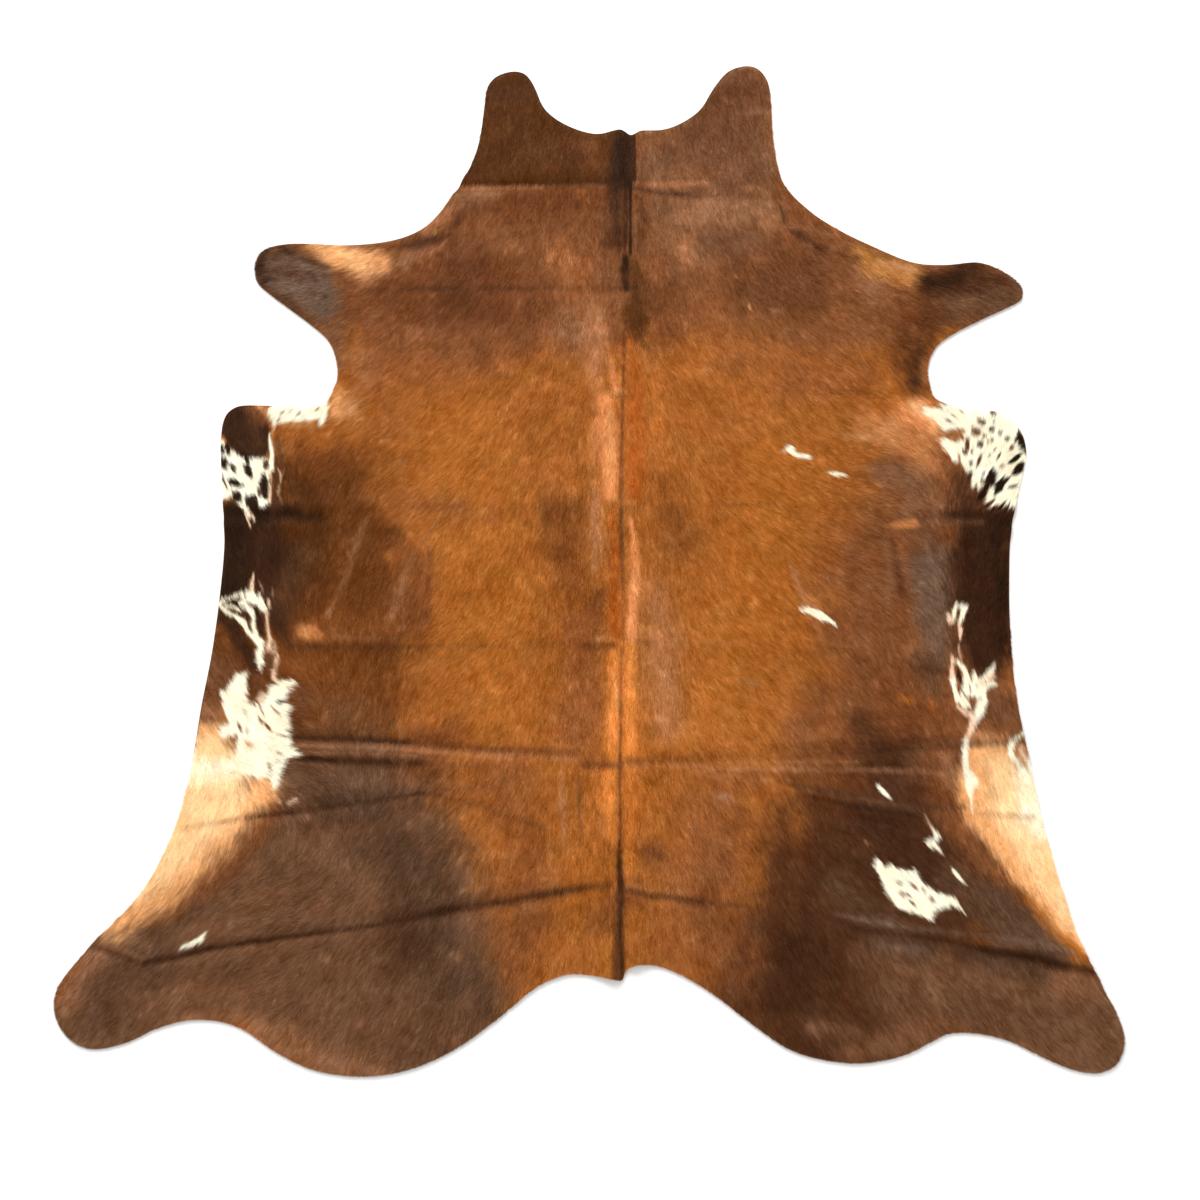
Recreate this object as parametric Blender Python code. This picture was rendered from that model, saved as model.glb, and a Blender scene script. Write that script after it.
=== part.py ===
"""Cowhide rug: one whole hide, hair side up, lying flat on a floor.

Metres, +Z up. The origin is on the floor under the middle of the rug's length and width.
The head end is at +Y and the tail at -Y; the spine runs along Y, a little right of the middle.
The hide is one solid: its trimmed edge, its thickness of leather and flat hair, and the soft
creases that the folds of its storage left in it.
"""

import bpy
import bmesh
import numpy as np
from mathutils.geometry import delaunay_2d_cdt

# Driving dimensions
LENGTH = 2.150             # neck lobe to rump, along Y
WIDTH = 1.955              # hind foot to hind foot, along X
BACK_THICKNESS = 0.0060    # leather and flat hair along the spine: 3 mm of each
BELLY_THICKNESS = 0.0042   # the same at the thin belly and legs, HALF_SPREAD from the spine
HALF_SPREAD = 0.95
SPINE_X = 0.067            # the spine's place across the rug

# How finely the shape is cut into faces
EDGE_STEP = 0.024          # between corners of the trimmed edge
CREASE_STEP = 0.050        # between corners along a crease
CREASE_GAP = 0.100         # corners along a crease further apart than this stay unjoined
FIELD_STEP = 0.085         # between corners of the open, flat hide, across the rug
FIELD_ROW_STEP = 0.074     # between their rows, so that their triangles are nearly equilateral
EDGE_CLEAR = 0.012         # least distance of an inner corner from the edge
CORNER_CLEAR = 0.016       # least distance between two inner corners
FIELD_CLEAR = 0.048        # least distance of an open-field corner from any other
SAME_CORNER = 1e-6         # corners of the plan closer than this are one
KEEP_INSIDE = 1            # the triangulation's choice that keeps only what the edge encloses
SHARP_ANGLE = 40.0         # degrees between faces from which their edge is drawn sharp

# Cross-section of a crease
TROUGH_HALF_WIDTH = 0.022  # from the line of a trough to the top of its lips
RIDGE_SHOULDER = 0.5       # where a ridge's flank gets its corner, as a part of its reach

# The trimmed edge, clockwise from the left side of the neck, seen from above.
# A row for each stretch: its name, then its points (x, y).
EDGE = (
    ("left neck lobe", (-0.310, 0.722), (-0.272, 0.790), (-0.246, 0.870), (-0.233, 0.985),
     (-0.228, 1.022), (-0.209, 1.048), (-0.173, 1.061), (-0.146, 1.054), (-0.126, 1.025),
     (-0.100, 0.963), (-0.055, 0.923)),
    ("nape", (0.010, 0.898), (0.068, 0.905), (0.092, 0.894), (0.113, 0.901), (0.184, 0.915)),
    ("right neck lobe", (0.245, 0.957), (0.280, 1.017), (0.313, 1.060), (0.350, 1.075),
     (0.379, 1.069), (0.401, 1.036), (0.407, 0.978), (0.409, 0.877), (0.426, 0.775),
     (0.468, 0.715)),
    ("right shoulder", (0.533, 0.663), (0.605, 0.621), (0.699, 0.577)),
    ("right foreleg", (0.768, 0.571), (0.838, 0.577), (0.877, 0.563), (0.913, 0.537),
     (0.928, 0.512), (0.924, 0.489), (0.900, 0.473), (0.835, 0.441), (0.771, 0.406)),
    ("right armpit", (0.733, 0.375), (0.714, 0.334), (0.713, 0.290), (0.723, 0.259)),
    ("right belly lobe", (0.754, 0.242), (0.806, 0.235), (0.864, 0.223), (0.894, 0.195),
     (0.904, 0.137), (0.886, 0.068)),
    ("right flank", (0.859, -0.027), (0.844, -0.148), (0.837, -0.272), (0.838, -0.377),
     (0.848, -0.477), (0.861, -0.578), (0.878, -0.678)),
    ("right hind leg", (0.901, -0.786), (0.921, -0.862), (0.946, -0.916), (0.971, -0.972),
     (0.978, -1.018), (0.960, -1.054), (0.926, -1.069), (0.883, -1.064)),
    ("right hock", (0.832, -1.044), (0.768, -1.014), (0.709, -1.001), (0.663, -1.001),
     (0.635, -1.012)),
    ("right rump", (0.578, -1.038), (0.505, -1.052), (0.438, -1.048), (0.369, -1.029),
     (0.305, -0.987), (0.237, -0.936), (0.175, -0.899)),
    ("tail", (0.125, -0.882), (0.087, -0.883), (0.071, -0.891), (0.065, -0.908),
     (0.049, -0.907), (0.011, -0.900), (-0.037, -0.898)),
    ("left rump", (-0.094, -0.921), (-0.165, -0.977), (-0.246, -1.032), (-0.328, -1.065),
     (-0.407, -1.075), (-0.491, -1.065), (-0.560, -1.036)),
    ("left hock", (-0.625, -0.996), (-0.668, -0.981), (-0.727, -0.978), (-0.784, -0.992),
     (-0.837, -1.016)),
    ("left hind leg", (-0.892, -1.028), (-0.931, -1.019), (-0.964, -0.987), (-0.977, -0.952),
     (-0.974, -0.922), (-0.952, -0.885), (-0.899, -0.823), (-0.838, -0.752)),
    ("left flank", (-0.796, -0.663), (-0.774, -0.585), (-0.763, -0.504), (-0.754, -0.393),
     (-0.742, -0.282), (-0.736, -0.158), (-0.736, -0.061), (-0.744, 0.016), (-0.757, 0.117)),
    ("left belly lobe", (-0.761, 0.188), (-0.753, 0.223), (-0.730, 0.240), (-0.691, 0.242),
     (-0.624, 0.240), (-0.569, 0.242)),
    ("left armpit", (-0.544, 0.256), (-0.534, 0.278), (-0.526, 0.305), (-0.533, 0.352),
     (-0.551, 0.392)),
    ("left foreleg", (-0.589, 0.428), (-0.645, 0.472), (-0.688, 0.506), (-0.711, 0.530),
     (-0.719, 0.565), (-0.712, 0.596), (-0.687, 0.615), (-0.634, 0.623), (-0.518, 0.619),
     (-0.421, 0.632)),
    ("left shoulder", (-0.357, 0.663),),
)

# The creases. A row for each: its name, its kind, its reach to either side, then its points
# (x, y, rise). A trough keeps its line on the floor between two lips that rise by that much;
# a ridge rises along its line. Ends with a rise lie past the edge, so the crease runs out of it.
CREASES = (
    ("spine", "trough", 0.070, (0.093, 0.940, 0.008), (0.094, 0.757, 0.009),
     (0.091, 0.633, 0.008), (0.084, 0.512, 0.006), (0.073, 0.394, 0.006), (0.069, 0.265, 0.005),
     (0.068, 0.016, 0.008), (0.067, -0.268, 0.007), (0.066, -0.510, 0.006),
     (0.065, -0.742, 0.009), (0.066, -0.960, 0.010)),
    ("nape fold, left", "trough", 0.055, (-0.340, 0.758, 0.009), (-0.152, 0.764, 0.009),
     (-0.042, 0.770, 0.007), (0.085, 0.775, 0.005)),
    ("nape fold, right", "trough", 0.050, (0.094, 0.766, 0.006), (0.122, 0.755, 0.008),
     (0.243, 0.740, 0.007), (0.374, 0.735, 0.004), (0.490, 0.730, 0.004)),
    ("withers fold, left", "trough", 0.050, (-0.534, 0.506, 0.000), (-0.320, 0.510, 0.004),
     (-0.105, 0.512, 0.003), (0.084, 0.514, 0.006)),
    ("withers fold, right", "ridge", 0.045, (0.088, 0.512, 0.003), (0.238, 0.498, 0.002),
     (0.409, 0.488, 0.004), (0.580, 0.486, 0.005), (0.741, 0.487, 0.000)),
    ("shoulder fold, left", "trough", 0.045, (-0.420, 0.256, 0.000), (-0.144, 0.262, 0.002),
     (0.065, 0.265, 0.003)),
    ("shoulder fold, right", "trough", 0.050, (0.233, 0.260, 0.000), (0.400, 0.261, 0.003),
     (0.568, 0.264, 0.005), (0.728, 0.265, 0.005)),
    ("girth fold, left", "trough", 0.055, (-0.790, -0.002, 0.005), (-0.587, -0.003, 0.006),
     (-0.425, -0.001, 0.003), (-0.242, 0.013, 0.002), (-0.058, 0.018, 0.003),
     (0.064, 0.016, 0.004)),
    ("girth fold, right", "trough", 0.055, (0.073, 0.016, 0.003), (0.228, 0.014, 0.002),
     (0.431, 0.005, 0.002), (0.634, -0.010, 0.005), (0.756, -0.014, 0.006),
     (0.900, -0.016, 0.006)),
    ("flank fold, left", "ridge", 0.042, (-0.600, -0.268, 0.000), (-0.520, -0.266, 0.006),
     (-0.400, -0.264, 0.007), (-0.300, -0.264, 0.004), (-0.135, -0.265, 0.002),
     (0.030, -0.265, 0.005)),
    ("flank fold, right", "ridge", 0.042, (0.085, -0.268, 0.002), (0.200, -0.271, 0.005),
     (0.300, -0.276, 0.003), (0.537, -0.290, 0.004), (0.695, -0.296, 0.003),
     (0.800, -0.294, 0.000)),
    ("loin fold, left", "trough", 0.060, (-0.620, -0.455, 0.000), (-0.560, -0.459, 0.006),
     (-0.481, -0.464, 0.009), (-0.306, -0.477, 0.009), (-0.131, -0.496, 0.006),
     (0.062, -0.516, 0.006)),
    ("loin fold, right", "trough", 0.060, (0.070, -0.508, 0.006), (0.197, -0.504, 0.007),
     (0.333, -0.495, 0.007), (0.507, -0.485, 0.009), (0.663, -0.477, 0.009),
     (0.770, -0.471, 0.007), (0.890, -0.467, 0.007)),
    ("hip fold, left", "trough", 0.048, (-0.768, -0.634, 0.000), (-0.654, -0.616, 0.006),
     (-0.582, -0.600, 0.009), (-0.466, -0.585, 0.009), (-0.299, -0.564, 0.005),
     (-0.206, -0.589, 0.003), (-0.098, -0.627, 0.000)),
    ("hip fold, right", "ridge", 0.040, (0.370, -0.547, 0.000), (0.495, -0.574, 0.005),
     (0.622, -0.597, 0.006), (0.730, -0.612, 0.000)),
    ("leg fold, left", "ridge", 0.036, (-0.960, -0.818, 0.007), (-0.871, -0.857, 0.008),
     (-0.815, -0.880, 0.004), (-0.770, -0.880, 0.000)),
    ("rump fold, left", "trough", 0.060, (-0.850, -0.886, 0.000), (-0.776, -0.869, 0.008),
     (-0.705, -0.853, 0.010), (-0.590, -0.838, 0.009), (-0.465, -0.817, 0.007),
     (-0.350, -0.800, 0.008), (-0.263, -0.786, 0.009), (-0.113, -0.764, 0.009),
     (-0.006, -0.745, 0.007), (0.061, -0.739, 0.006)),
    ("rump fold, right", "trough", 0.055, (0.069, -0.742, 0.009), (0.138, -0.750, 0.009),
     (0.219, -0.769, 0.006), (0.314, -0.777, 0.003), (0.400, -0.786, 0.000)),
    ("leg fold, right", "ridge", 0.048, (0.400, -0.778, 0.000), (0.480, -0.789, 0.006),
     (0.558, -0.801, 0.007), (0.644, -0.822, 0.006), (0.753, -0.836, 0.009),
     (0.823, -0.845, 0.012), (0.887, -0.861, 0.012), (0.970, -0.896, 0.011)),
    ("hock crease, left", "trough", 0.030, (-0.813, -0.884, 0.000), (-0.816, -0.917, 0.005),
     (-0.826, -0.944, 0.005), (-0.840, -0.970, 0.000)),
    ("elbow crease, left", "trough", 0.034, (-0.290, 0.672, 0.000), (-0.322, 0.628, 0.006),
     (-0.366, 0.594, 0.006), (-0.425, 0.578, 0.000)),
    ("elbow crease, right", "trough", 0.032, (0.413, 0.735, 0.000), (0.420, 0.690, 0.005),
     (0.432, 0.655, 0.005), (0.470, 0.625, 0.000)),
)

HAIR_COLOUR = (0.245, 0.105, 0.043, 1.0)
HAIR_ROUGHNESS = 0.62


def smooth_line(points, step, closed=False):
    """Points at an even step along a smooth curve through the given points.

    Each span is a cubic that leaves and enters its ends along the line between the
    neighbours on either side, so the curve has no kinks and keeps close to its points.
    """
    points = np.array(points, dtype=float)
    count = len(points)
    spans = count if closed else count - 1
    line = []
    for i in range(spans):
        if closed:
            around = [points[(i + k) % count] for k in (-1, 0, 1, 2)]
        else:
            around = [points[min(max(i + k, 0), count - 1)] for k in (-1, 0, 1, 2)]
        before, start, end, after = around
        span = np.hypot(*(end - start)[:2])
        lead = np.hypot(*(start - before)[:2])
        tail = np.hypot(*(after - end)[:2])
        leave = (end - before) * span / (span + lead)
        enter = (after - start) * span / (span + tail)
        pieces = max(1, int(np.ceil(span / step)))
        t = (np.arange(pieces) / pieces)[:, None]
        line.append(start * (2 * t**3 - 3 * t**2 + 1) + leave * (t**3 - 2 * t**2 + t)
                    + end * (3 * t**2 - 2 * t**3) + enter * (t**3 - t**2))
    if not closed:
        line.append(points[-1:])
    return np.vstack(line)


def fitted_edge():
    """The trimmed edge, centred on the origin and brought to exactly WIDTH by LENGTH."""
    points = [point for row in EDGE for point in row[1:]]
    edge = smooth_line(points, EDGE_STEP, closed=True)
    low, high = edge.min(axis=0), edge.max(axis=0)
    return (edge - (low + high) / 2) * (WIDTH, LENGTH) / (high - low)


def bell(t):
    """A soft hump: 1 at 0, falling smoothly to 0 at 1 and beyond."""
    return np.clip(1 - t**2, 0, None) ** 2


def nearest_on(line, points):
    """Each point's distance from a line of (x, y, rise) corners, and the rise there."""
    start, end = line[:-1, :2], line[1:, :2]
    along = end - start
    reach = points[:, None, :] - start[None]
    share = np.clip((reach * along).sum(axis=2) / (along**2).sum(axis=1), 0, 1)
    offset = reach - share[..., None] * along
    distance = np.hypot(offset[..., 0], offset[..., 1])
    nearest = distance.argmin(axis=1)
    row = np.arange(len(points))
    share = share[row, nearest]
    rise = line[nearest, 2] * (1 - share) + line[nearest + 1, 2] * share
    return distance[row, nearest], rise


def height_of_underside(points):
    """How far the creases lift the hide off the floor at each point (x, y).

    The highest crease wins, and every trough presses its own line back down to the floor.
    """
    lift = np.zeros(len(points))
    press = np.ones(len(points))
    for _, kind, reach, *route in CREASES:
        distance, rise = nearest_on(smooth_line(route, CREASE_STEP), points)
        lift = np.maximum(lift, rise * bell(distance / reach))
        if kind == "trough":
            shown = np.clip(rise / max(point[2] for point in route), 0, 1)
            press = np.minimum(press, 1 - shown * bell(distance / TROUGH_HALF_WIDTH))
    return lift * press


def thickness_at(points):
    """Leather and hair together: thickest on the back, thinning evenly to the belly."""
    away = np.clip(np.abs(points[:, 0] - SPINE_X) / HALF_SPREAD, 0, 1)
    return BACK_THICKNESS + (BELLY_THICKNESS - BACK_THICKNESS) * away**2


def inside(points, loop):
    """Which points lie within a closed loop, by counting its crossings to their right."""
    x, y = points[:, :1], points[:, 1:]
    x1, y1 = loop[:, 0], loop[:, 1]
    x2, y2 = np.roll(x1, -1), np.roll(y1, -1)
    crosses = (y1 <= y) != (y2 <= y)
    at = x1 + (y - y1) * (x2 - x1) / np.where(y2 == y1, 1.0, y2 - y1)
    return (crosses & (at > x)).sum(axis=1) % 2 == 1


def clear_of(points, others, gap):
    """Which points are at least a gap away from every one of the others."""
    if len(others) == 0:
        return np.ones(len(points), dtype=bool)
    away = points[:, None, :] - np.asarray(others)[None]
    return np.hypot(away[..., 0], away[..., 1]).min(axis=1) >= gap


def corner_plan(edge):
    """The plan's corners and its fixed lines: the edge, the creases and the open field."""
    corners = [tuple(point) for point in edge]
    lines = [(i, (i + 1) % len(edge)) for i in range(len(edge))]
    flanks = []
    for _, kind, reach, *route in CREASES:
        line = smooth_line(route, CREASE_STEP)[:, :2]
        heading = np.gradient(line, axis=0)
        heading /= np.hypot(heading[:, 0], heading[:, 1])[:, None]
        side = np.column_stack([-heading[:, 1], heading[:, 0]])
        keep = inside(line, edge) & clear_of(line, edge, EDGE_CLEAR)
        keep &= clear_of(line, corners[len(edge):], CORNER_CLEAR)
        line = line[keep]
        side = side[keep]
        first = len(corners)
        corners += [tuple(point) for point in line]
        lines += [(first + i, first + i + 1) for i in range(len(line) - 1)
                  if np.hypot(*(line[i + 1] - line[i])) < CREASE_GAP]
        shoulder = TROUGH_HALF_WIDTH if kind == "trough" else RIDGE_SHOULDER * reach
        flanks += [line + way * side for way in (shoulder, -shoulder, reach, -reach)]
    for flank in flanks:
        for point in flank:
            here = point[None]
            if (inside(here, edge)[0] and clear_of(here, edge, EDGE_CLEAR)[0]
                    and clear_of(here, corners, CORNER_CLEAR)[0]):
                corners.append(tuple(point))
    rows = np.arange(-LENGTH / 2, LENGTH / 2, FIELD_ROW_STEP)
    columns = np.arange(-WIDTH / 2, WIDTH / 2, FIELD_STEP)
    field = np.array([(x + (i % 2) * FIELD_STEP / 2, y)
                      for i, y in enumerate(rows) for x in columns])
    field = field[inside(field, edge)]
    field = field[clear_of(field, corners, FIELD_CLEAR)]
    corners += [tuple(point) for point in field]
    return corners, lines


def hair_material():
    """Short, flat, red-brown hair."""
    material = bpy.data.materials.new("cowhide")
    material.use_nodes = True
    shader = material.node_tree.nodes["Principled BSDF"]
    shader.inputs["Base Color"].default_value = HAIR_COLOUR
    shader.inputs["Roughness"].default_value = HAIR_ROUGHNESS
    shader.inputs["Metallic"].default_value = 0.0
    material.diffuse_color = HAIR_COLOUR
    return material


def make_hide():
    """The hide as one closed solid, its underside lying on the floor and over its creases."""
    corners, lines = corner_plan(fitted_edge())
    plan, _, triangles, *_ = delaunay_2d_cdt(corners, lines, [], KEEP_INSIDE, SAME_CORNER)
    plan = np.array([tuple(point) for point in plan])
    underside = height_of_underside(plan)
    top = underside + thickness_at(plan)
    shape = bmesh.new()
    below = [shape.verts.new((x, y, z)) for (x, y), z in zip(plan, underside)]
    above = [shape.verts.new((x, y, z)) for (x, y), z in zip(plan, top)]
    for a, b, c in triangles:
        shape.faces.new((above[a], above[b], above[c]))
        shape.faces.new((below[c], below[b], below[a]))
    rim = [edge for edge in shape.edges if edge.is_boundary]
    bmesh.ops.bridge_loops(shape, edges=rim)
    loose = [corner for corner in shape.verts if not corner.link_faces]
    bmesh.ops.delete(shape, geom=loose, context="VERTS")
    bmesh.ops.recalc_face_normals(shape, faces=shape.faces[:])
    mesh = bpy.data.meshes.new("hide")
    shape.to_mesh(mesh)
    shape.free()
    mesh.materials.append(hair_material())
    mesh.shade_smooth()
    mesh.set_sharp_from_angle(angle=np.radians(SHARP_ANGLE))
    hide = bpy.data.objects.new("hide", mesh)
    bpy.context.collection.objects.link(hide)
    return hide


for item in list(bpy.data.objects):
    bpy.data.objects.remove(item, do_unlink=True)
make_hide()
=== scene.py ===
"""Cowhide rug: a whole hide laid flat on a pale floor, hair side up.

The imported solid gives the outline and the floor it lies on. Round it this script makes the
leather with its creases, and the coat of short hair that lies on it.
Metres, +Z up, the head end at +Y, the spine along Y a little right of the middle. The tables
of creases and colours are in millimetres, each point's numbers written close together.
"""

import bmesh
import bpy
import numpy as np
from mathutils.geometry import delaunay_2d_cdt
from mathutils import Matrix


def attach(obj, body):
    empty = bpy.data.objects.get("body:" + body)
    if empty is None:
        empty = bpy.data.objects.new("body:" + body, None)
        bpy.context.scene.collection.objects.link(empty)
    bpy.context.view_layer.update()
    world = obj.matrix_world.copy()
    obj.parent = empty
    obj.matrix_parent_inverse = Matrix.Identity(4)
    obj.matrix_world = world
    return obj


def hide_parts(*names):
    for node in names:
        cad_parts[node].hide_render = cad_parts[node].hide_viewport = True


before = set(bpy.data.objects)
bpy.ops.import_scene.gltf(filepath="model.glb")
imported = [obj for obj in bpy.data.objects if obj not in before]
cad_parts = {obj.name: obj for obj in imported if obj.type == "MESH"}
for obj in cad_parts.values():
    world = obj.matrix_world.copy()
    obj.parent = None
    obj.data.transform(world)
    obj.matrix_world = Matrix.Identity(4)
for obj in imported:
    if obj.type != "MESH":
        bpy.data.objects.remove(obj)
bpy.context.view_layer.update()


# The leather: one whole tanned skin, 2 to 3 mm thick, cut to a clean edge all round. It is
# soft enough to lie flat, but the folds in which it was stored still lift it a little, and
# the folds cross where the hide was folded in half along the spine first.
BACK_LEATHER = 0.0030          # thickness along the spine
BELLY_LEATHER = 0.0021         # thickness at the legs and belly, HALF_SPREAD from the spine
SPINE_X = 0.067
HALF_SPREAD = 0.95
RIM_STEP = 0.006               # between corners of the cut edge
HAIR_SIDE_STEP = 0.0095        # between corners of the hair side
FLESH_SIDE_STEP = 0.0190       # between corners of the underside
RIM_CLEAR = 0.5                # least distance of a corner from the rim, in steps
CREASE_STEP = 0.020            # between corners of a crease's line
TROUGH_HALF_WIDTH = 0.022      # from the line of a trough to the top of its lips
BUCKLE = 0.0011                # how far the skin rises between its creases
FIELD_CELL = 0.004             # of the grids that hold heights and distances
FIELD_MARGIN = 0.040
SAME_CORNER = 1e-5             # corners of the solid that are closer are one
FLAT_ENOUGH = 0.5              # a face whose normal's z is above this belongs to the hair side

# A row for each crease: its name, its kind, its reach to either side, then x,y,rise of the
# points on its line, all in millimetres.
CREASES = (
    ("spine", "trough", 70, 93,940,8, 94,757,9, 91,633,8, 84,512,6, 73,394,6, 69,265,5, 68,16,8, 67,-268,7,
     66,-510,6, 65,-742,9, 66,-960,10),
    ("nape fold, left", "trough", 55, -340,758,9, -152,764,9, -42,770,7, 85,775,5),
    ("nape fold, right", "trough", 50, 94,766,6, 122,755,8, 243,740,7, 374,735,4, 490,730,4),
    ("withers fold, left", "trough", 50, -534,506,0, -320,510,4, -105,512,3, 84,514,6),
    ("withers fold, right", "ridge", 45, 88,512,3, 238,498,2, 409,488,4, 580,486,5, 741,487,0),
    ("shoulder fold, left", "trough", 45, -420,256,0, -144,262,2, 65,265,3),
    ("shoulder fold, right", "trough", 50, 233,260,0, 400,261,3, 568,264,5, 728,265,5),
    ("girth fold, left", "trough", 55, -790,-2,5, -587,-3,6, -425,-1,3, -242,13,2, -58,18,3, 64,16,4),
    ("girth fold, right", "trough", 55, 73,16,3, 228,14,2, 431,5,2, 634,-10,5, 756,-14,6, 900,-16,6),
    ("flank fold, left", "ridge", 42, -600,-268,0, -520,-266,6, -400,-264,7, -300,-264,4, -135,-265,2,
     30,-265,5),
    ("flank fold, right", "ridge", 42, 85,-268,2, 200,-271,5, 300,-276,3, 537,-290,4, 695,-296,3,
     800,-294,0),
    ("loin fold, left", "trough", 60, -620,-455,0, -560,-459,6, -481,-464,9, -306,-477,9, -131,-496,6,
     62,-516,6),
    ("loin fold, right", "trough", 60, 70,-508,6, 197,-504,7, 333,-495,7, 507,-485,9, 663,-477,9,
     770,-471,7, 890,-467,7),
    ("hip fold, left", "trough", 48, -768,-634,0, -654,-616,6, -582,-600,9, -466,-585,9, -299,-564,5,
     -206,-589,3, -98,-627,0),
    ("hip fold, right", "ridge", 40, 370,-547,0, 495,-574,5, 622,-597,6, 730,-612,0),
    ("leg fold, left", "ridge", 36, -960,-818,7, -871,-857,8, -815,-880,4, -770,-880,0),
    ("rump fold, left", "trough", 60, -850,-886,0, -776,-869,8, -705,-853,10, -590,-838,9, -465,-817,7,
     -350,-800,8, -263,-786,9, -113,-764,9, -6,-745,7, 61,-739,6),
    ("rump fold, right", "trough", 55, 69,-742,9, 138,-750,9, 219,-769,6, 314,-777,3, 400,-786,0),
    ("leg fold, right", "ridge", 48, 400,-778,0, 480,-789,6, 558,-801,7, 644,-822,6, 753,-836,9,
     823,-845,12, 887,-861,12, 970,-896,11),
    ("hock crease, left", "trough", 30, -813,-884,0, -816,-917,5, -826,-944,5, -840,-970,0),
    ("elbow crease, left", "trough", 34, -290,672,0, -322,628,6, -366,594,6, -425,578,0),
    ("elbow crease, right", "trough", 32, 413,735,0, 420,690,5, 432,655,5, 470,625,0),
)

def in_metres(numbers, columns=3):
    """A table row's numbers, from millimetres to metres, as points of so many numbers each."""
    return np.reshape(numbers, (-1, columns)) / 1000


def smooth_line(points, step, closed=False):
    """Points at about an even step along a curve through the given ones: each span is a cubic
    that leaves and enters its ends along the line between the neighbours on either side."""
    if closed:
        points = np.vstack([points[-1], points, points[0], points[1]])
    else:
        points = np.vstack([points[0], points, points[-1]])
    before, start, end, after = points[:-3], points[1:-2], points[2:-1], points[3:]
    span = np.hypot(*(end - start)[:, :2].T)[:, None]
    lead = np.hypot(*(start - before)[:, :2].T)[:, None]
    tail = np.hypot(*(after - end)[:, :2].T)[:, None]
    leave = (end - before) * span / (span + lead)
    enter = (after - start) * span / (span + tail)
    pieces = max(1, int(np.ceil(np.median(span) / step)))
    t = (np.arange(pieces) / pieces)[None, :, None]
    line = (start[:, None] * (2 * t**3 - 3 * t**2 + 1) + leave[:, None] * (t**3 - 2 * t**2 + t)
            + end[:, None] * (3 * t**2 - 2 * t**3) + enter[:, None] * (t**3 - t**2))
    line = line.reshape(-1, points.shape[1])
    return line if closed else np.vstack([line, end[-1]])


def outline_of(mesh):
    """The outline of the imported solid's hair side, as one closed walk round its rim: along the
    edges where a flat face that looks up meets a steep one."""
    solid = bmesh.new()
    solid.from_mesh(mesh)
    bmesh.ops.remove_doubles(solid, verts=solid.verts[:], dist=SAME_CORNER)
    solid.normal_update()
    ways = {}
    for edge in solid.edges:
        slopes = sorted(abs(face.normal.z) for face in edge.link_faces)
        upward = any(face.normal.z > FLAT_ENOUGH for face in edge.link_faces)
        if len(slopes) == 2 and upward and slopes[0] < FLAT_ENOUGH < slopes[1]:
            one, two = edge.verts
            ways.setdefault(one, []).append(two)
            ways.setdefault(two, []).append(one)
    first = here = next(iter(ways))
    walk, last = [], None
    while here is not first or not walk:
        walk.append(here.co.xy[:])
        here, last = next(way for way in ways[here] if way is not last), here
    solid.free()
    return np.array(walk)


def area_in(line):
    """The area inside a closed line: half the sum of x1 y2 - x2 y1 over its sides, which is
    above zero where the line runs anticlockwise."""
    x, y = line.T
    return 0.5 * np.sum(x * np.roll(y, -1) - np.roll(x, -1) * y)


def bell(t):
    """A soft hump: (1 - t squared) squared within 1, nothing beyond."""
    return np.clip(1 - t**2, 0, None) ** 2


def off_side(start, end, x, y):
    """Where on a straight side the place nearest to each point lies, 0 to 1 along it, and how
    far away it is."""
    along_x, along_y = end[0] - start[0], end[1] - start[1]
    share = np.clip(((x - start[0]) * along_x + (y - start[1]) * along_y)
                    / (along_x**2 + along_y**2), 0, 1)
    return share, np.hypot(x - start[0] - share * along_x, y - start[1] - share * along_y)


def nearest_on(line, x, y):
    """Each point's distance from a line of (x, y, value) corners, and the value there."""
    start, end = line[:-1].T, line[1:].T
    share, distance = off_side(start, end, x[:, None], y[:, None])
    nearest = distance.argmin(axis=1)
    row = np.arange(len(x))
    value = start[2, nearest] + share[row, nearest] * (end - start)[2, nearest]
    return distance[row, nearest], value


# Smooth noise comes from lattices of random numbers, -1 to 1.
LATTICE_SIDE = 256
LATTICES = np.random.default_rng(7).uniform(-1, 1, (4, LATTICE_SIDE, LATTICE_SIDE))


def noise(x, y, lattice):
    """Random but smooth, with a corner of that lattice at each whole number: its four nearest
    corners, blended by 3 t squared - 2 t cubed."""
    column, row = np.floor(x).astype(int), np.floor(y).astype(int)
    u, v = x - column, y - row
    u, v = u * u * (3 - 2 * u), v * v * (3 - 2 * v)
    left, right = column % LATTICE_SIDE, (column + 1) % LATTICE_SIDE
    near, far = row % LATTICE_SIDE, (row + 1) % LATTICE_SIDE
    corners = LATTICES[lattice]
    low = corners[near, left] * (1 - u) + corners[near, right] * u
    high = corners[far, left] * (1 - u) + corners[far, right] * u
    return low * (1 - v) + high * v


def mottle(x, y, layers):
    """The sum of noise of several sizes. A row for each: its strength, its cell, its lattice."""
    return sum(strength * noise(x / cell, y / cell, lattice)
               for strength, cell, lattice in layers)


BUCKLE_LAYERS = ((0.6, 0.110, 0), (0.4, 0.050, 1))

rim = smooth_line(outline_of(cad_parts["hide"].data), RIM_STEP, closed=True)
if area_in(rim) < 0:
    rim = rim[::-1]
hide_area = area_in(rim)
field_low = rim.min(axis=0) - FIELD_MARGIN
field_size = np.ceil((np.ptp(rim, axis=0) + 2 * FIELD_MARGIN) / FIELD_CELL).astype(int) + 1
field_x = field_low[0] + FIELD_CELL * np.arange(field_size[0])
field_y = field_low[1] + FIELD_CELL * np.arange(field_size[1])


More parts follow.
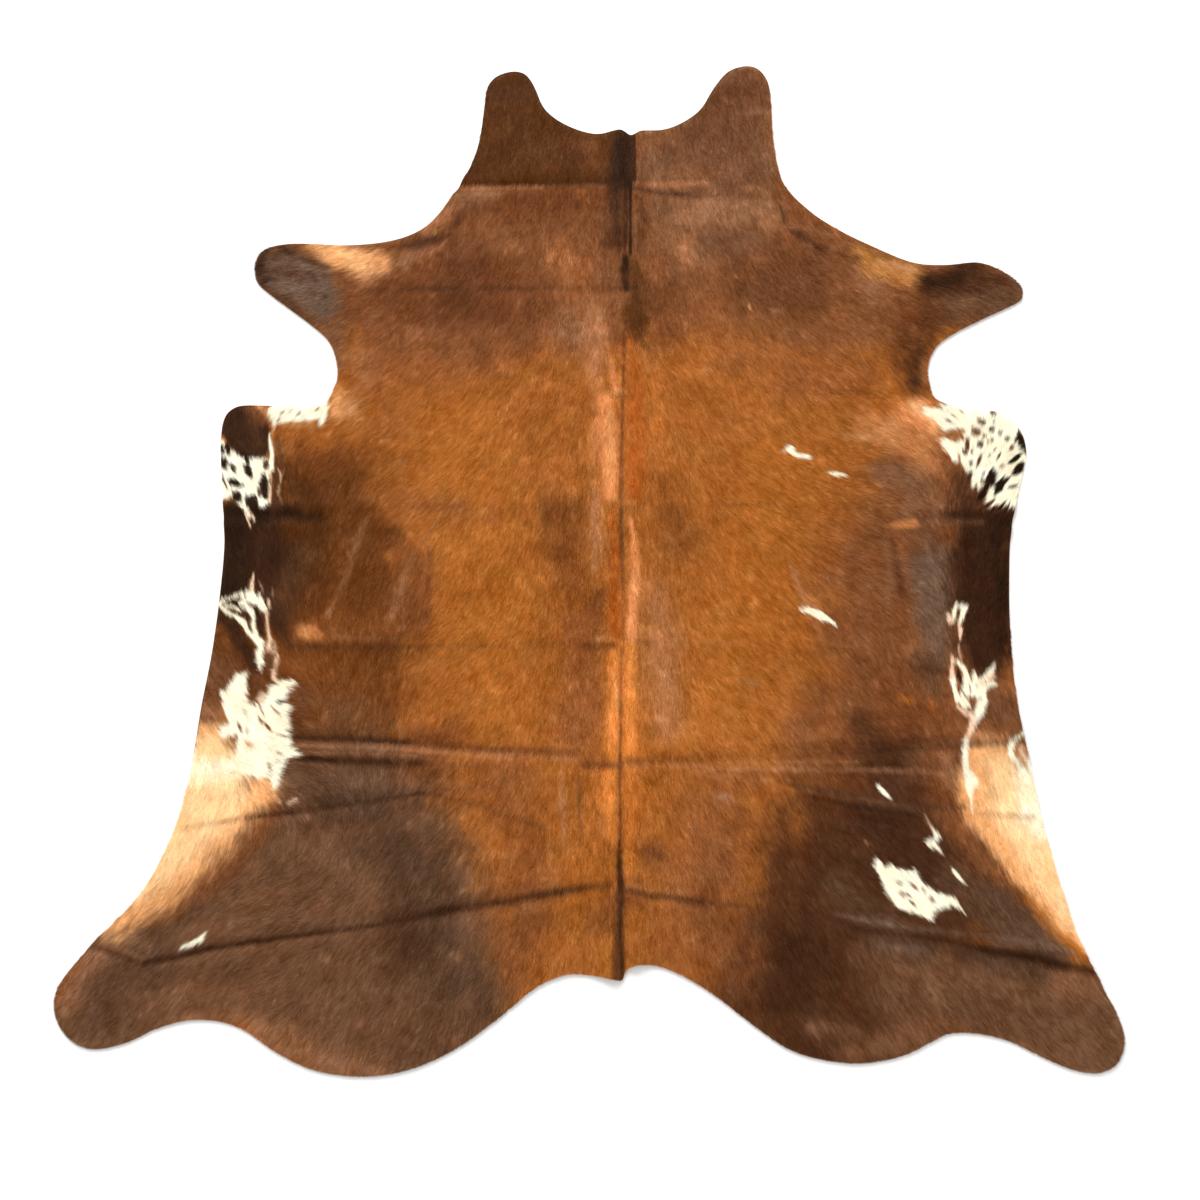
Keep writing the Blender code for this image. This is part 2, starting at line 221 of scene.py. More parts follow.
def depth_field():
    """How far inside the cut edge each grid point lies, up to FIELD_MARGIN; negative outside."""
    after = np.roll(rim, -1, axis=0)
    depth = np.full((field_size[1], field_size[0]), FIELD_MARGIN)
    reach = int(np.ceil(FIELD_MARGIN / FIELD_CELL))
    for start, end in zip(rim, after):
        column, row = ((start - field_low) / FIELD_CELL).astype(int)
        rows = slice(max(row - reach, 0), row + reach + 2)
        columns = slice(max(column - reach, 0), column + reach + 2)
        x, y = np.meshgrid(field_x[columns], field_y[rows])
        depth[rows, columns] = np.minimum(depth[rows, columns], off_side(start, end, x, y)[1])
    for row, y in enumerate(field_y):
        crossed = (rim[:, 1] <= y) != (after[:, 1] <= y)
        start, end = rim[crossed], after[crossed]
        at = start[:, 0] + (y - start[:, 1]) * (end[:, 0] - start[:, 0]) / (end[:, 1] - start[:, 1])
        outside = np.searchsorted(np.sort(at), field_x) % 2 == 0
        depth[row, outside] *= -1
    return depth


def lift_field():
    """How far the leather's underside is off the floor: the highest crease wins, each trough
    presses its own line back down, and between them the skin buckles a little."""
    x, y = (flat.ravel() for flat in np.meshgrid(field_x, field_y))
    lift, press = np.zeros(len(x)), np.ones(len(x))
    for _, kind, reach, *numbers in CREASES:
        route, reach = in_metres(numbers), reach / 1000
        line = smooth_line(route, CREASE_STEP)
        near = np.flatnonzero((x > line[:, 0].min() - reach) & (x < line[:, 0].max() + reach)
                              & (y > line[:, 1].min() - reach) & (y < line[:, 1].max() + reach))
        distance, rise = nearest_on(line, x[near], y[near])
        lift[near] = np.maximum(lift[near], rise * bell(distance / reach))
        if kind == "trough":
            shown = np.clip(rise / route[:, 2].max(), 0, 1)
            pressed = 1 - shown * bell(distance / TROUGH_HALF_WIDTH)
            press[near] = np.minimum(press[near], pressed)
    lift = lift * press + BUCKLE * np.clip(mottle(x, y, BUCKLE_LAYERS), 0, None)
    return lift.reshape(field_size[1], field_size[0])


depth_grid = depth_field()
lift_grid = lift_field()
SHORT_OF_LAST = 1.001          # cells from the grid's end to the last place that is read


def read_field(field, x, y):
    """A grid's value at any point, blended evenly between its four nearest corners."""
    u = np.clip((x - field_low[0]) / FIELD_CELL, 0, field_size[0] - SHORT_OF_LAST)
    v = np.clip((y - field_low[1]) / FIELD_CELL, 0, field_size[1] - SHORT_OF_LAST)
    column, row = u.astype(int), v.astype(int)
    u, v = u - column, v - row
    return ((field[row, column] * (1 - u) + field[row, column + 1] * u) * (1 - v)
            + (field[row + 1, column] * (1 - u) + field[row + 1, column + 1] * u) * v)


def leather_top(x, y):
    """Height of the leather's hair side: its lift, and its thickness, which falls from the
    spine to the belly by the square of the way."""
    away = np.clip(np.abs(x - SPINE_X) / HALF_SPREAD, 0, 1)
    return read_field(lift_grid, x, y) + BACK_LEATHER + (BELLY_LEATHER - BACK_LEATHER) * away**2


KEEP_INSIDE = 1                # Blender's number for only the triangles inside the fixed edges
SAME_POINT = 1e-7              # points of the sheet that are closer are one


def sheet_plan(step):
    """A flat sheet of near even triangles inside the rim; its first corners are the rim's."""
    triangle_height = step * np.sqrt(0.75)
    rows = np.arange(rim[:, 1].min(), rim[:, 1].max(), triangle_height)
    columns = np.arange(rim[:, 0].min(), rim[:, 0].max(), step)
    x, y = np.meshgrid(columns, rows)
    x = x + step / 2 * (np.arange(len(rows)) % 2)[:, None]
    x, y = x.ravel(), y.ravel()
    inner = read_field(depth_grid, x, y) > step * RIM_CLEAR
    corners = np.vstack([rim, np.column_stack([x, y])[inner]])
    fixed = [(i, (i + 1) % len(rim)) for i in range(len(rim))]
    plan, _, faces, *_ = delaunay_2d_cdt([tuple(c) for c in corners], fixed, [],
                                         KEEP_INSIDE, SAME_POINT)
    return np.array([tuple(c) for c in plan]), np.array(faces)


# The coat's colours, as a dyer would name them; red, green, blue from 0 to 255.
COLOURS = {
    "black brown": (34, 18, 9),
    "dark umber": (54, 29, 15),
    "umber": (76, 44, 25),
    "bark": (83, 44, 13),
    "liver": (98, 56, 29),
    "rust": (99, 54, 20),
    "seal": (88, 60, 42),
    "cocoa": (110, 74, 50),
    "ash": (110, 84, 67),
    "hazel": (114, 72, 45),
    "loam": (115, 63, 25),
    "chestnut": (116, 65, 33),
    "brown": (128, 76, 42),
    "dun": (130, 87, 58),
    "russet": (148, 85, 41),
    "fawn": (152, 103, 71),
    "copper": (166, 96, 38),
    # rose, a grey pink, is used often for painted sheen, the gloss where the hair catches the light, and
    # for painted highlight along the folds
    "rose": (174, 114, 73),
    "sienna": (172, 87, 28),
    "red gold": (177, 104, 38),
    "amber": (192, 124, 72),
    "gold": (186, 124, 64),
    "orange": (203, 117, 48),
    "marigold": (222, 136, 62),
    "honey": (208, 147, 98),
    "apricot": (222, 141, 84),
    "deep tan": (235, 172, 112),
    "tan": (253, 208, 152),
    "blush": (240, 204, 172),
    "cream": (252, 238, 205),
    "ivory": (253, 246, 220),
}

# The coat's broad patches, laid one over another. A row holds a colour, how soft its border
# is, how fully it covers, and the middle line of each patch: x,y,half width of its points, in
# millimetres like the softness.
PATCHES = (
    # the broad parts of the hide
    ("brown", 70, 1, (-700,600,170, -250,620,260, 300,660,260, 850,600,200)),
    ("red gold", 70, 0.8, (-270,180,80, -240,50,90, -200,-200,90, -170,-400,50)),
    ("red gold", 70, 0.6, (380,100,80, 360,0,80, 320,-260,70, 260,-360,60)),
    ("russet", 50, 0.9, (-460,330,40, -300,330,50, -200,350,30)),
    ("russet", 40, 0.8, (-430,260,20, -410,190,20)),
    ("loam", 55, 1, (-560,50,130, -520,-100,140, -500,-240,150, -500,-420,150)),
    ("russet", 35, 0.8, (-400,30,30, -200,-5,10)),
    ("chestnut", 40, 0.7, (-390,-50,20, -350,-110,34, -355,-220,32)),
    ("brown", 70, 1, (720,40,150, 680,-160,200, 660,-420,190)),
    ("cocoa", 55, 1, (-700,-620,160, -450,-610,180, -420,-760,220, -340,-950,210)),
    ("cocoa", 40, 1, (-580,-920,90, -700,-860,130, -920,-940,140)),
    ("chestnut", 40, 1, (280,-840,30, 260,-920,60)),
    ("liver", 90, 1, (570,-520,90, 550,-620,170, 540,-740,210, 480,-860,220, 460,-960,210)),
    ("umber", 75, 1, (600,-580,140, 600,-720,200, 520,-860,190, 460,-950,170)),
    ("cocoa", 50, 1, (580,-900,70, 640,-940,90, 780,-950,90, 940,-1020,120)),
    # neck
    ("bark", 30, 1, (-200,1020,100, -160,920,140, -80,860,120, 30,860,80)),
    ("bark", 3, 1, (-340,800,41, 30,808,42)),
    ("liver", 30, 0.8, (-140,860,20, -30,860,40)),
    ("chestnut", 3, 1, (-340,725,33, 30,732,33)),
    ("dun", 24, 0.9, (-285,725,16, -200,745,8)),
    ("russet", 30, 0.7, (-60,620,20, -40,560,40, -30,470,30)),
    ("hazel", 40, 1, (350,1000,90, 300,860,140, 220,800,120, 300,680,100)),
    ("fawn", 30, 0.9, (200,690,35, 300,705,40, 395,700,22)),
    # the dun and rose patches at the right of the neck: painted sheen, their grey-mauve tone the gloss of
    # the hair catching the light from the head end
    ("dun", 24, 0.9, (135,880,10, 145,780,14, 150,700,16)),
    ("dun", 20, 0.7, (400,840,10, 320,800,20)),
    ("dun", 35, 0.8, (180,620,40, 220,580,30)),
    ("rose", 24, 0.8, (200,620,20, 210,580,10)),
    ("rose", 22, 0.6, (390,665,16)),
    ("liver", 30, 0.7, (260,970,20, 320,990,20, 360,1000,20)),
    # shoulders
    ("chestnut", 50, 0.9, (-500,470,40, -280,500,120, -150,480,60)),
    ("liver", 45, 0.5, (-280,590,40, -270,470,60)),
    ("brown", 40, 0.7, (-450,410,40, -250,380,50, -150,390,20)),
    ("brown", 35, 0.9, (-160,610,30)),
    ("chestnut", 30, 0.7, (-220,690,20, -20,690,10)),
    ("fawn", 40, 0.7, (-50,470,20, -30,400,30)),
    ("liver", 50, 0.8, (340,510,40, 450,520,80)),
    ("chestnut", 35, 0.9, (150,500,30, 160,420,30)),
    ("russet", 40, 0.7, (270,450,20, 280,400,30)),
    ("brown", 40, 0.9, (420,400,30, 580,420,50)),
    ("fawn", 35, 0.8, (620,510,30)),
    ("chestnut", 35, 0.9, (660,420,30, 720,440,30)),
    ("russet", 35, 0.7, (310,340,30, 420,340,30, 450,285,30)),
    ("russet", 45, 0.9, (400,290,30, 560,310,50)),
    ("russet", 30, 0.7, (300,210,20)),
    # left foreleg
    ("ash", 22, 1, (-680,555,55, -600,525,52, -570,465,36)),
    ("deep tan", 18, 1, (-600,616,8, -545,592,28, -490,578,34, -458,570,28)),
    ("honey", 20, 0.8, (-482,535,12, -450,570,18)),
    ("fawn", 16, 0.9, (-400,570,10, -345,635,14)),
    ("rose", 16, 0.9, (-345,660,14, -318,690,18, -300,720,14)),
    ("dun", 20, 0.9, (-545,420,22, -530,340,20)),
    ("rose", 30, 0.5, (-480,330,20, -460,290,20)),
    ("umber", 14, 0.7, (-700,560,12, -620,545,12)),
    ("dark umber", 12, 0.9, (-700,605,10, -714,565,14, -700,530,10)),
    ("dark umber", 14, 0.8, (-678,588,8, -668,612,10, -645,600,10)),
    ("umber", 14, 0.8, (-690,508,8, -650,482,12, -600,440,8)),
    # right foreleg
    ("cocoa", 28, 1, (770,470,36, 820,475,45, 920,500,60)),
    ("liver", 30, 0.9, (722,490,14, 745,445,22, 715,405,14)),
    ("gold", 24, 1, (590,605,20, 625,572,34, 685,548,32)),
    ("honey", 16, 0.8, (640,575,10, 690,560,10)),
    ("dark umber", 22, 1, (730,524,18, 775,530,32, 820,552,30)),
    ("umber", 20, 0.9, (835,538,30, 885,530,18)),
    ("liver", 40, 0.9, (665,400,22, 674,330,28, 690,285,18)),
    ("dark umber", 18, 0.6, (712,380,8, 690,330,14, 687,292,12)),
    ("fawn", 10, 0.7, (705,345,3, 705,300,4)),
    # left flank
    ("bark", 40, 1, (-620,90,30, -580,20,60, -580,-40,75, -600,-180,50)),
    ("rust", 40, 0.8, (-500,40,40, -470,-40,50, -460,-180,30)),
    ("rust", 30, 1, (-680,-200,80, -680,-320,80)),
    ("dark umber", 24, 1, (-680,-10,50, -660,-80,60, -670,-170,55)),
    ("black brown", 24, 0.9, (-730,0,35, -730,-80,45, -730,-170,35)),
    ("black brown", 16, 0.9, (-680,0,22, -620,4,14, -540,-12,6)),
    ("dark umber", 16, 0.9, (-624,-200,18, -612,-235,16, -590,-270,8)),
    ("dark umber", 12, 0.9, (-725,-215,12, -700,-245,10, -672,-290,10, -652,-325,8)),
    ("hazel", 22, 0.9, (-745,-315,24, -735,-360,32, -735,-420,28)),
    ("fawn", 14, 0.8, (-748,-405,14, -715,-415,10)),
    ("hazel", 14, 0.8, (-700,-315,10, -715,-340,14)),
    ("russet", 20, 0.6, (-600,-310,10, -580,-320,10)),
    ("liver", 24, 0.8, (-560,-360,10, -555,-430,20)),
    ("seal", 30, 0.5, (-580,-80,20, -600,-180,30)),
    ("dun", 30, 0.5, (-560,-380,20, -450,-400,20)),
    ("copper", 25, 0.8, (-620,185,20, -500,190,30)),
    ("copper", 25, 0.7, (-555,155,20)),
    ("honey", 12, 0.7, (-625,197,4, -580,198,7)),
    ("umber", 14, 0.8, (-643,165,4, -634,120,10, -640,60,12, -640,20,16)),
    ("deep tan", 16, 0.75, (-530,272,14, -518,235,26)),
    ("russet", 4, 0.8, (-550,196,2, -543,208,2, -538,235,2)),
    ("honey", 30, 0.8, (-490,230,22)),
    # right flank
    ("dun", 30, 0.9, (600,90,20, 680,60,40, 670,-10,40)),
    ("hazel", 30, 1, (690,-30,35, 690,-90,40)),
    ("ash", 30, 0.9, (690,-110,40, 695,-200,45, 690,-290,30)),
    ("chestnut", 20, 0.7, (630,-245,20)),
    ("chestnut", 40, 0.9, (620,-320,40, 600,-420,50)),
    ("brown", 20, 0.9, (660,-440,20, 680,-500,20)),
    ("umber", 24, 1, (760,75,12, 768,35,28, 810,28,22)),
    ("dark umber", 16, 1, (740,-5,14, 800,-10,30, 880,-15,40)),
    ("dark umber", 24, 1, (795,-60,55, 785,-200,60, 785,-300,42)),
    ("dark umber", 14, 0.8, (722,-240,6, 726,-280,10)),
    ("black brown", 16, 0.6, (840,-20,20, 842,-120,22, 835,-280,14)),
    ("hazel", 16, 1, (785,-385,28, 805,-400,36, 825,-430,30)),
    ("brown", 14, 0.7, (780,-455,10, 835,-430,12)),
    ("amber", 40, 1, (580,190,20, 680,160,50, 700,110,20)),
    ("apricot", 24, 1, (640,222,16, 700,218,32)),
    ("honey", 16, 0.5, (535,175,10, 575,168,10, 630,200,14)),
    ("dun", 20, 0.6, (625,108,14, 665,100,10)),
    ("tan", 18, 0.6, (685,235,12, 730,205,18)),
    # spine
    ("bark", 22, 1, (95,570,12, 105,500,20, 106,440,18)),
    ("bark", 20, 0.9, (98,440,24, 110,395,12)),
    ("orange", 16, 0.6, (137,285,12, 140,190,10)),
    # painted sheen: the two rose rows just left of the spine, where the hair catches the light
    ("rose", 24, 0.8, (5,460,20, 15,330,20)),
    ("amber", 20, 0.7, (15,300,12, 15,60,10)),
    ("rose", 14, 0.9, (13,35,10, 14,-50,14, 14,-120,10)),
    ("loam", 40, 0.7, (-60,10,35, -60,-60,35, -10,-180,20)),
    ("loam", 34, 0.8, (-45,5,20, -15,0,14, -30,-50,20)),
    ("loam", 50, 0.7, (155,40,16, 170,-10,30, 180,-60,40)),
    ("chestnut", 16, 0.8, (18,-165,12, 8,-215,18, 5,-275,18)),
    ("honey", 16, 0.5, (135,-195,14)),
    # painted sheen: the rose patch right of the spine
    ("rose", 30, 0.8, (140,-180,28, 150,-340,36, 150,-440,30)),
    ("russet", 30, 1, (-20,-240,30, -10,-360,40, -20,-460,40)),
    ("orange", 14, 1, (64,-280,24, 66,-490,26)),
    ("orange", 20, 0.6, (95,-420,14, 90,-600,22)),
    # rump and hind legs
    ("russet", 45, 0.9, (-160,-540,50, -120,-640,40, -110,-820,50)),
    ("brown", 35, 0.7, (-100,-750,30, -140,-840,30)),
    ("russet", 50, 0.9, (260,-560,60, 200,-720,80, 180,-840,70)),
    ("brown", 40, 0.8, (280,-620,20, 220,-760,40, 240,-820,40)),
    ("brown", 50, 0.9, (440,-420,50, 420,-500,50)),
    ("chestnut", 45, 0.9, (520,-460,30, 480,-540,40)),
    ("orange", 20, 0.8, (45,-530,22, 40,-640,14)),
    ("russet", 30, 0.5, (-140,-900,30, -20,-880,20)),
    ("chestnut", 30, 0.7, (80,-760,30, 30,-800,20)),
    ("chestnut", 25, 0.6, (130,-680,20)),
    ("seal", 45, 1, (-500,-570,40, -400,-570,45)),
    ("chestnut", 40, 0.9, (-320,-500,40, -270,-460,20)),
    ("seal", 45, 1, (-380,-660,40, -310,-720,60, -310,-800,60, -290,-880,50, -190,-940,30)),
    ("umber", 35, 0.5, (-360,-800,30, -300,-860,20)),
    ("fawn", 24, 0.9, (-750,-978,8, -660,-972,6, -580,-1005,14, -480,-1050,18, -380,-1064,12)),
    ("dun", 25, 0.5, (-740,-930,20, -660,-935,20)),
    ("seal", 28, 0.9, (-800,-820,16, -730,-780,16)),
    ("seal", 30, 0.8, (-800,-880,30, -870,-920,30, -880,-980,30)),
    ("fawn", 22, 0.8, (-905,-864,10, -940,-885,18, -960,-945,16)),
    ("russet", 12, 0.5, (-945,-885,12, -975,-940,8)),
    ("dark umber", 40, 0.35, (540,-620,30, 640,-700,50)),
    ("dark umber", 40, 0.5, (400,-850,30, 350,-930,30)),
    ("seal", 30, 0.8, (470,-740,30, 550,-800,30, 620,-860,20)),
    ("dun", 18, 0.6, (480,-1040,20, 580,-1015,24, 660,-985,14)),
    ("umber", 22, 0.5, (760,-950,20)),
    ("umber", 24, 0.6, (620,-900,10, 600,-945,16)),
    ("cocoa", 20, 0.8, (420,-995,12, 500,-1000,14)),
    # the light bands along the hind edges, and the hair beside them
    ("brown", 26, 0.9, (-600,-600,12, -650,-670,24, -715,-735,20, -800,-800,12)),
    ("deep tan", 22, 1, (-618,-556,26, -675,-620,28, -735,-690,28, -800,-762,24, -880,-815,22)),
    ("tan", 22, 1, (-728,-464,30, -720,-530,62, -720,-575,68, -770,-640,58, -810,-700,44, -860,-760,24)),
    ("cream", 18, 1, (-780,-522,22, -680,-518,16, -630,-515,12)),
    ("seal", 20, 1, (680,-730,30, 760,-775,45, 800,-812,45, 865,-864,26)),
    ("seal", 16, 0.9, (700,-862,18, 800,-885,20, 870,-905,18)),
    ("dun", 14, 1, (870,-915,20, 935,-912,28)),
    ("brown", 20, 0.5, (655,-500,20, 660,-600,20)),
    ("dun", 26, 0.8, (625,-525,16, 652,-478,16)),
    ("dun", 26, 0.5, (708,-464,14)),
    ("brown", 26, 1, (680,-500,22, 688,-590,26, 735,-680,20, 800,-740,8)),
    ("honey", 14, 0.8, (745,-455,6, 800,-460,6)),
    ("brown", 20, 0.9, (655,-500,12, 695,-520,14)),
    ("fawn", 12, 0.8, (690,-498,12, 698,-545,12)),
    ("deep tan", 13, 1, (750,-500,26, 738,-580,34, 785,-645,35, 846,-735,30, 895,-800,26, 918,-840,16)),
    ("tan", 22, 1, (795,-505,30, 815,-580,56, 850,-660,46, 888,-745,36, 915,-820,14)),
    ("cream", 24, 1, (840,-530,20, 850,-590,34, 870,-640,14)),
)

# Small strokes of colour, and lines of painted shade and painted highlight along the folds:
# darker where shade falls in a fold and the hair parts, paler where a fold's slope faces the light.
# The same columns as for the patches; their borders follow the hair only a little.
STROKES = (
    # neck and nape
    ("fawn", 10, 0.7, (-290,738,16, -200,740,8)),
    ("umber", 20, 0.7, (-205,1000,20, -110,1000,10)),
    ("brown", 22, 0.7, (5,875,10, 12,820,6)),
    ("umber", 6, 1, (-25,713,8)),
    ("dark umber", 14, 1, (70,910,18, 68,840,22, 68,775,26)),
    ("black brown", 12, 0.8, (70,870,12, 75,775,14)),
    # painted shade: the thin dark line in the spine's groove
    ("dark umber", 2, 1, (88,905,14, 92,775,12)),
    ("dark umber", 18, 1, (62,765,15, 60,690,17, 60,630,14, 62,590,2)),
    ("umber", 16, 0.8, (34,700,4, 34,650,10, 36,610,4)),
    ("liver", 14, 0.9, (112,730,7, 114,660,14, 106,600,10)),
    # painted shade along the spine's groove and the left nape fold, and a thin line of painted highlight
    # beside the groove
    ("dark umber", 4, 0.8, (81,765,5, 80,680,6, 77,600,3), (-305,764.5,2, -160,768,3, 45,770,4.5)),
    ("black brown", 2, 1, (90,765,3.5, 90,680,3, 89,595,3.5)),
    ("dun", 2, 0.9, (98,755,1.2, 102,680,1.6, 100,600,1.4)),
    ("rose", 2, 0.9, (73,604,1.6, 68,585,1.4)),
    ("black brown", 6, 1, (78,585,7, 77,555,10, 80,505,3)),
    ("liver", 26, 0.9, (90,540,6, 118,515,18, 122,470,12)),
    ("dun", 12, 0.8, (30,545,12, 55,530,10)),
    ("rose", 14, 0.6, (30,490,10, 55,470,8)),
    # painted shade along the left withers fold
    ("dark umber", 2, 1, (30,508.5,0.8, 60,511,3, 100,514,4.5)),
    ("fawn", 8, 0.8, (325,948,4, 400,955,7)),
    ("liver", 18, 0.8, (290,1000,16, 365,995,12)),
    ("liver", 22, 0.5, (255,950,16, 240,900,20)),
    ("brown", 10, 0.7, (170,795,6, 280,795,8)),
    # along the right nape fold: painted highlight in rose and fawn, painted shade in dark umber and liver
    ("rose", 6, 0.9, (98,768,3, 150,763,8, 190,764,9, 260,772,4)),
    ("fawn", 8, 1, (335,758,5, 370,755,8, 392,742,5)),
    ("dark umber", 2, 1, (95,762,2.5, 115,753,4.5, 150,748,3.5, 200,741,4.5, 240,739,2)),
    ("liver", 4, 0.6, (238,740,1.5, 300,742,2, 405,730,2)),
    # painted highlight under the left nape fold
    ("rose", 3, 1, (-296,756,4, -210,757,3.8, -100,758.5,2.2)),
    ("russet", 16, 0.6, (-20,760,6, -10,690,8)),
    # shoulders
    ("russet", 10, 0.7, (405,990,5, 405,880,6, 428,780,8, 480,700,10, 570,640,10)),
    # painted shade in umber and liver in the right elbow crease, painted highlight in fawn along its lips
    ("umber", 3, 0.9, (416,716,1.5, 424,690,3.5, 424,668,2)),
    ("umber", 12, 0.9, (438,655,6, 465,632,16, 510,604,14)),
    ("fawn", 5, 0.8, (424,662,3, 470,660,4, 540,636,5)),
    ("fawn", 5, 0.7, (452,622,2, 482,616,5)),
    ("liver", 12, 0.8, (545,595,10, 580,585,6)),
    ("fawn", 4, 0.7, (522,600,2, 560,625,3)),
    ("liver", 25, 0.6, (330,565,20, 400,520,20)),
    ("fawn", 4, 0.9, (388,462,5, 412,458,5)),
    ("deep tan", 2, 1, (343,470,3, 343,463,1.5)),
    # painted shade in umber in the left elbow crease, painted highlight in fawn and deep tan along it
    ("umber", 12, 1, (-410,612,4, -370,620,12, -325,633,8)),
    ("dark umber", 4, 1, (-303,640,5)),
    ("umber", 12, 0.9, (-298,660,5, -283,680,8)),
    ("fawn", 5, 0.9, (-425,578,4, -365,588,4, -325,608,3.5, -305,634,2)),
    ("deep tan", 2, 1, (-334,646,3.5)),
    ("rose", 14, 0.6, (-165,620,12, -150,600,8)),
    ("rose", 16, 0.6, (-45,600,6, -45,535,16)),
    ("liver", 14, 0.7, (-300,575,10, -240,560,10)),
    ("liver", 10, 0.6, (-200,705,8)),
    # painted shade along the withers folds
    ("umber", 7, 0.7, (-480,509,2, -340,512,5, -200,512,4, 20,512,1)),
    ("liver", 6, 0.5, (120,520,2, 300,516,3, 520,508,3)),
    ("dark umber", 5, 0.8, (-690,540,6, -672,533,3), (-640,548,3), (-622,530,5), (-600,552,4, -590,535,4)),
    ("dark umber", 5, 0.7, (-572,545,4)),
    ("dark umber", 6, 0.7, (-565,495,6), (-620,585,4, -565,565,6)),
    ("umber", 6, 0.7, (-605,505,4, -590,500,4)),
    # flanks
    ("chestnut", 8, 0.7, (-320,-75,4, -322,-220,8)),
    ("fawn", 8, 0.6, (-450,-10,4, -468,-60,8, -487,-130,6, -505,-180,6, -520,-215,5)),
    ("fawn", 10, 0.7, (-352,-80,3, -366,-120,6, -374,-155,10, -384,-195,7, -395,-230,5)),
    ("fawn", 8, 0.5, (-310,-15,4, -330,-55,4)),
    ("rose", 7, 0.9, (-395,112,4, -378,112,6)),
    ("rose", 3, 0.8, (-380,-244,1.5, -366,-238,1.5)),
    ("brown", 4, 0.6, (-430,-243,3, -400,-235,2)),
    ("fawn", 6, 0.5, (-465,-35,3, -480,-55,3)),
    ("brown", 6, 0.8, (-548,-150,3, -562,-175,4)),
    ("amber", 10, 1, (-566,-245,14, -546,-249,15, -530,-256,8)),
    ("deep tan", 6, 0.6, (-556,-256,7)),
    ("amber", 4, 1, (622,-25,8, 660,-19,11)),
    ("dun", 10, 0.9, (598,-40,4, 608,-120,8, 600,-190,6)),
    ("umber", 8, 0.8, (617,-50,3, 622,-110,6, 628,-165,5)),
    ("rose", 8, 0.8, (408,-105,3, 424,-155,7, 438,-192,9)),
    ("rose", 8, 0.6, (454,-225,5, 460,-258,4)),
    ("umber", 25, 0.8, (535,-430,20, 560,-500,40)),
    ("seal", 20, 0.6, (660,-310,30, 680,-360,20)),
    ("copper", 5, 0.9, (612,-381,6, 630,-386,8)),
    ("copper", 5, 0.8, (672,-388,4, 672,-412,4)),
    ("brown", 5, 0.7, (640,-440,6, 700,-450,4)),
    ("umber", 8, 0.7, (650,-320,4, 700,-330,6)),
    ("rose", 8, 0.7, (298,-345,4, 335,-350,6)),
    ("honey", 2, 0.8, (226,315,1, 258,325,1.8)),
    # painted shade along the girth folds
    ("cocoa", 6, 0.9, (690,-8,2, 740,-16,6, 800,-18,4)),
    ("brown", 6, 0.4, (-270,18,3, -20,15,2)),
    ("brown", 5, 0.4, (110,18,2, 400,22,2)),
    # along the flank folds: painted shade in umber, brown, liver and chestnut, painted highlight in dun,
    # honey and rose on the ridges
    ("umber", 5, 0.8, (-600,-275,4, -450,-279,4, -330,-279,3)),
    ("brown", 5, 0.6, (-330,-277,3, -50,-275,2)),
    ("dun", 5, 0.8, (-500,-258,4, -450,-263,4, -370,-264,2)),
    ("brown", 5, 0.5, (400,-290,2, 520,-288,3, 680,-285,2)),
    ("honey", 3, 0.8, (8,-264,2, 48,-260,4)),
    ("liver", 4, 0.95, (-20,-274,2, 15,-279,5, 52,-276,5)),
    ("chestnut", 5, 0.8, (80,-266,3, 125,-270,5)),
    ("rose", 4, 0.6, (140,-268,2, 340,-272,2)),
    # spine
    ("chestnut", 7, 0.8, (50,490,6, 54,410,6, 58,385,2)),
    # painted sheen left of the spine
    ("rose", 12, 0.8, (22,460,10, 30,385,10)),
    ("apricot", 10, 0.9, (40,374,3, 48,330,8, 55,292,10, 56,274,8)),
    ("apricot", 9, 1, (32,254,16, 40,200,21, 45,100,17, 46,38,12)),
    ("deep tan", 8, 0.6, (45,225,6, 45,120,8, 42,55,6)),
    # painted highlight in honey over painted shade in chestnut, where the left shoulder fold meets the
    # spine
    ("honey", 3, 0.8, (34,263,1.5, 68,273,3)),
    ("chestnut", 3, 0.7, (48,257,2, 76,264,5)),
    ("orange", 6, 0.8, (66,370,5, 66,300,3)),
    ("sienna", 14, 1, (85,385,8, 94,330,14, 98,280,18, 98,100,20, 94,30,14)),
    # painted shade: the thin line in the spine's groove
    ("chestnut", 3, 0.9, (76,420,2.5, 72,280,3, 68,120,3, 66,30,3.5)),
    # painted highlight in honey over painted shade in chestnut, where the girth fold meets the spine
    ("honey", 4, 0.8, (76,24,3, 94,24,3)),
    ("chestnut", 4, 0.6, (88,10,3, 115,8,4)),
    ("honey", 5, 0.8, (27,12,4, 32,-8,3)),
    # painted shade in the spine's groove
    ("liver", 4, 1, (67,12,4, 64,-30,6, 67,-90,5, 70,-160,3)),
    ("sienna", 8, 1, (52,5,8, 52,-90,12, 54,-250,13)),
    ("brown", 6, 0.5, (40,-40,6, 42,-120,6)),
    # painted shade in the spine's groove
    ("russet", 3, 0.9, (70,-120,3, 70,-270,2)),
    ("apricot", 5, 1, (86,-12,3, 92,-50,7, 95,-120,9, 90,-200,11, 86,-260,12)),
    ("marigold", 10, 0.9, (50,-290,6, 50,-360,9, 46,-480,13)),
    ("marigold", 7, 0.9, (84,-280,9, 83,-480,11)),
    ("deep tan", 3, 0.8, (47,-325,2, 56,-365,3, 56,-410,1)),
    # painted shade in the spine's groove
    ("brown", 4, 0.9, (66,-280,2.5, 63,-480,2.5)),
    ("marigold", 12, 0.8, (40,-530,12, 42,-600,9, 48,-660,4)),
    ("orange", 8, 0.8, (80,-520,8, 80,-680,6, 78,-735,4)),
    # painted shade in the spine's groove, down to the tail
    ("chestnut", 3, 1, (62,-490,2.2, 62,-660,2.8)),
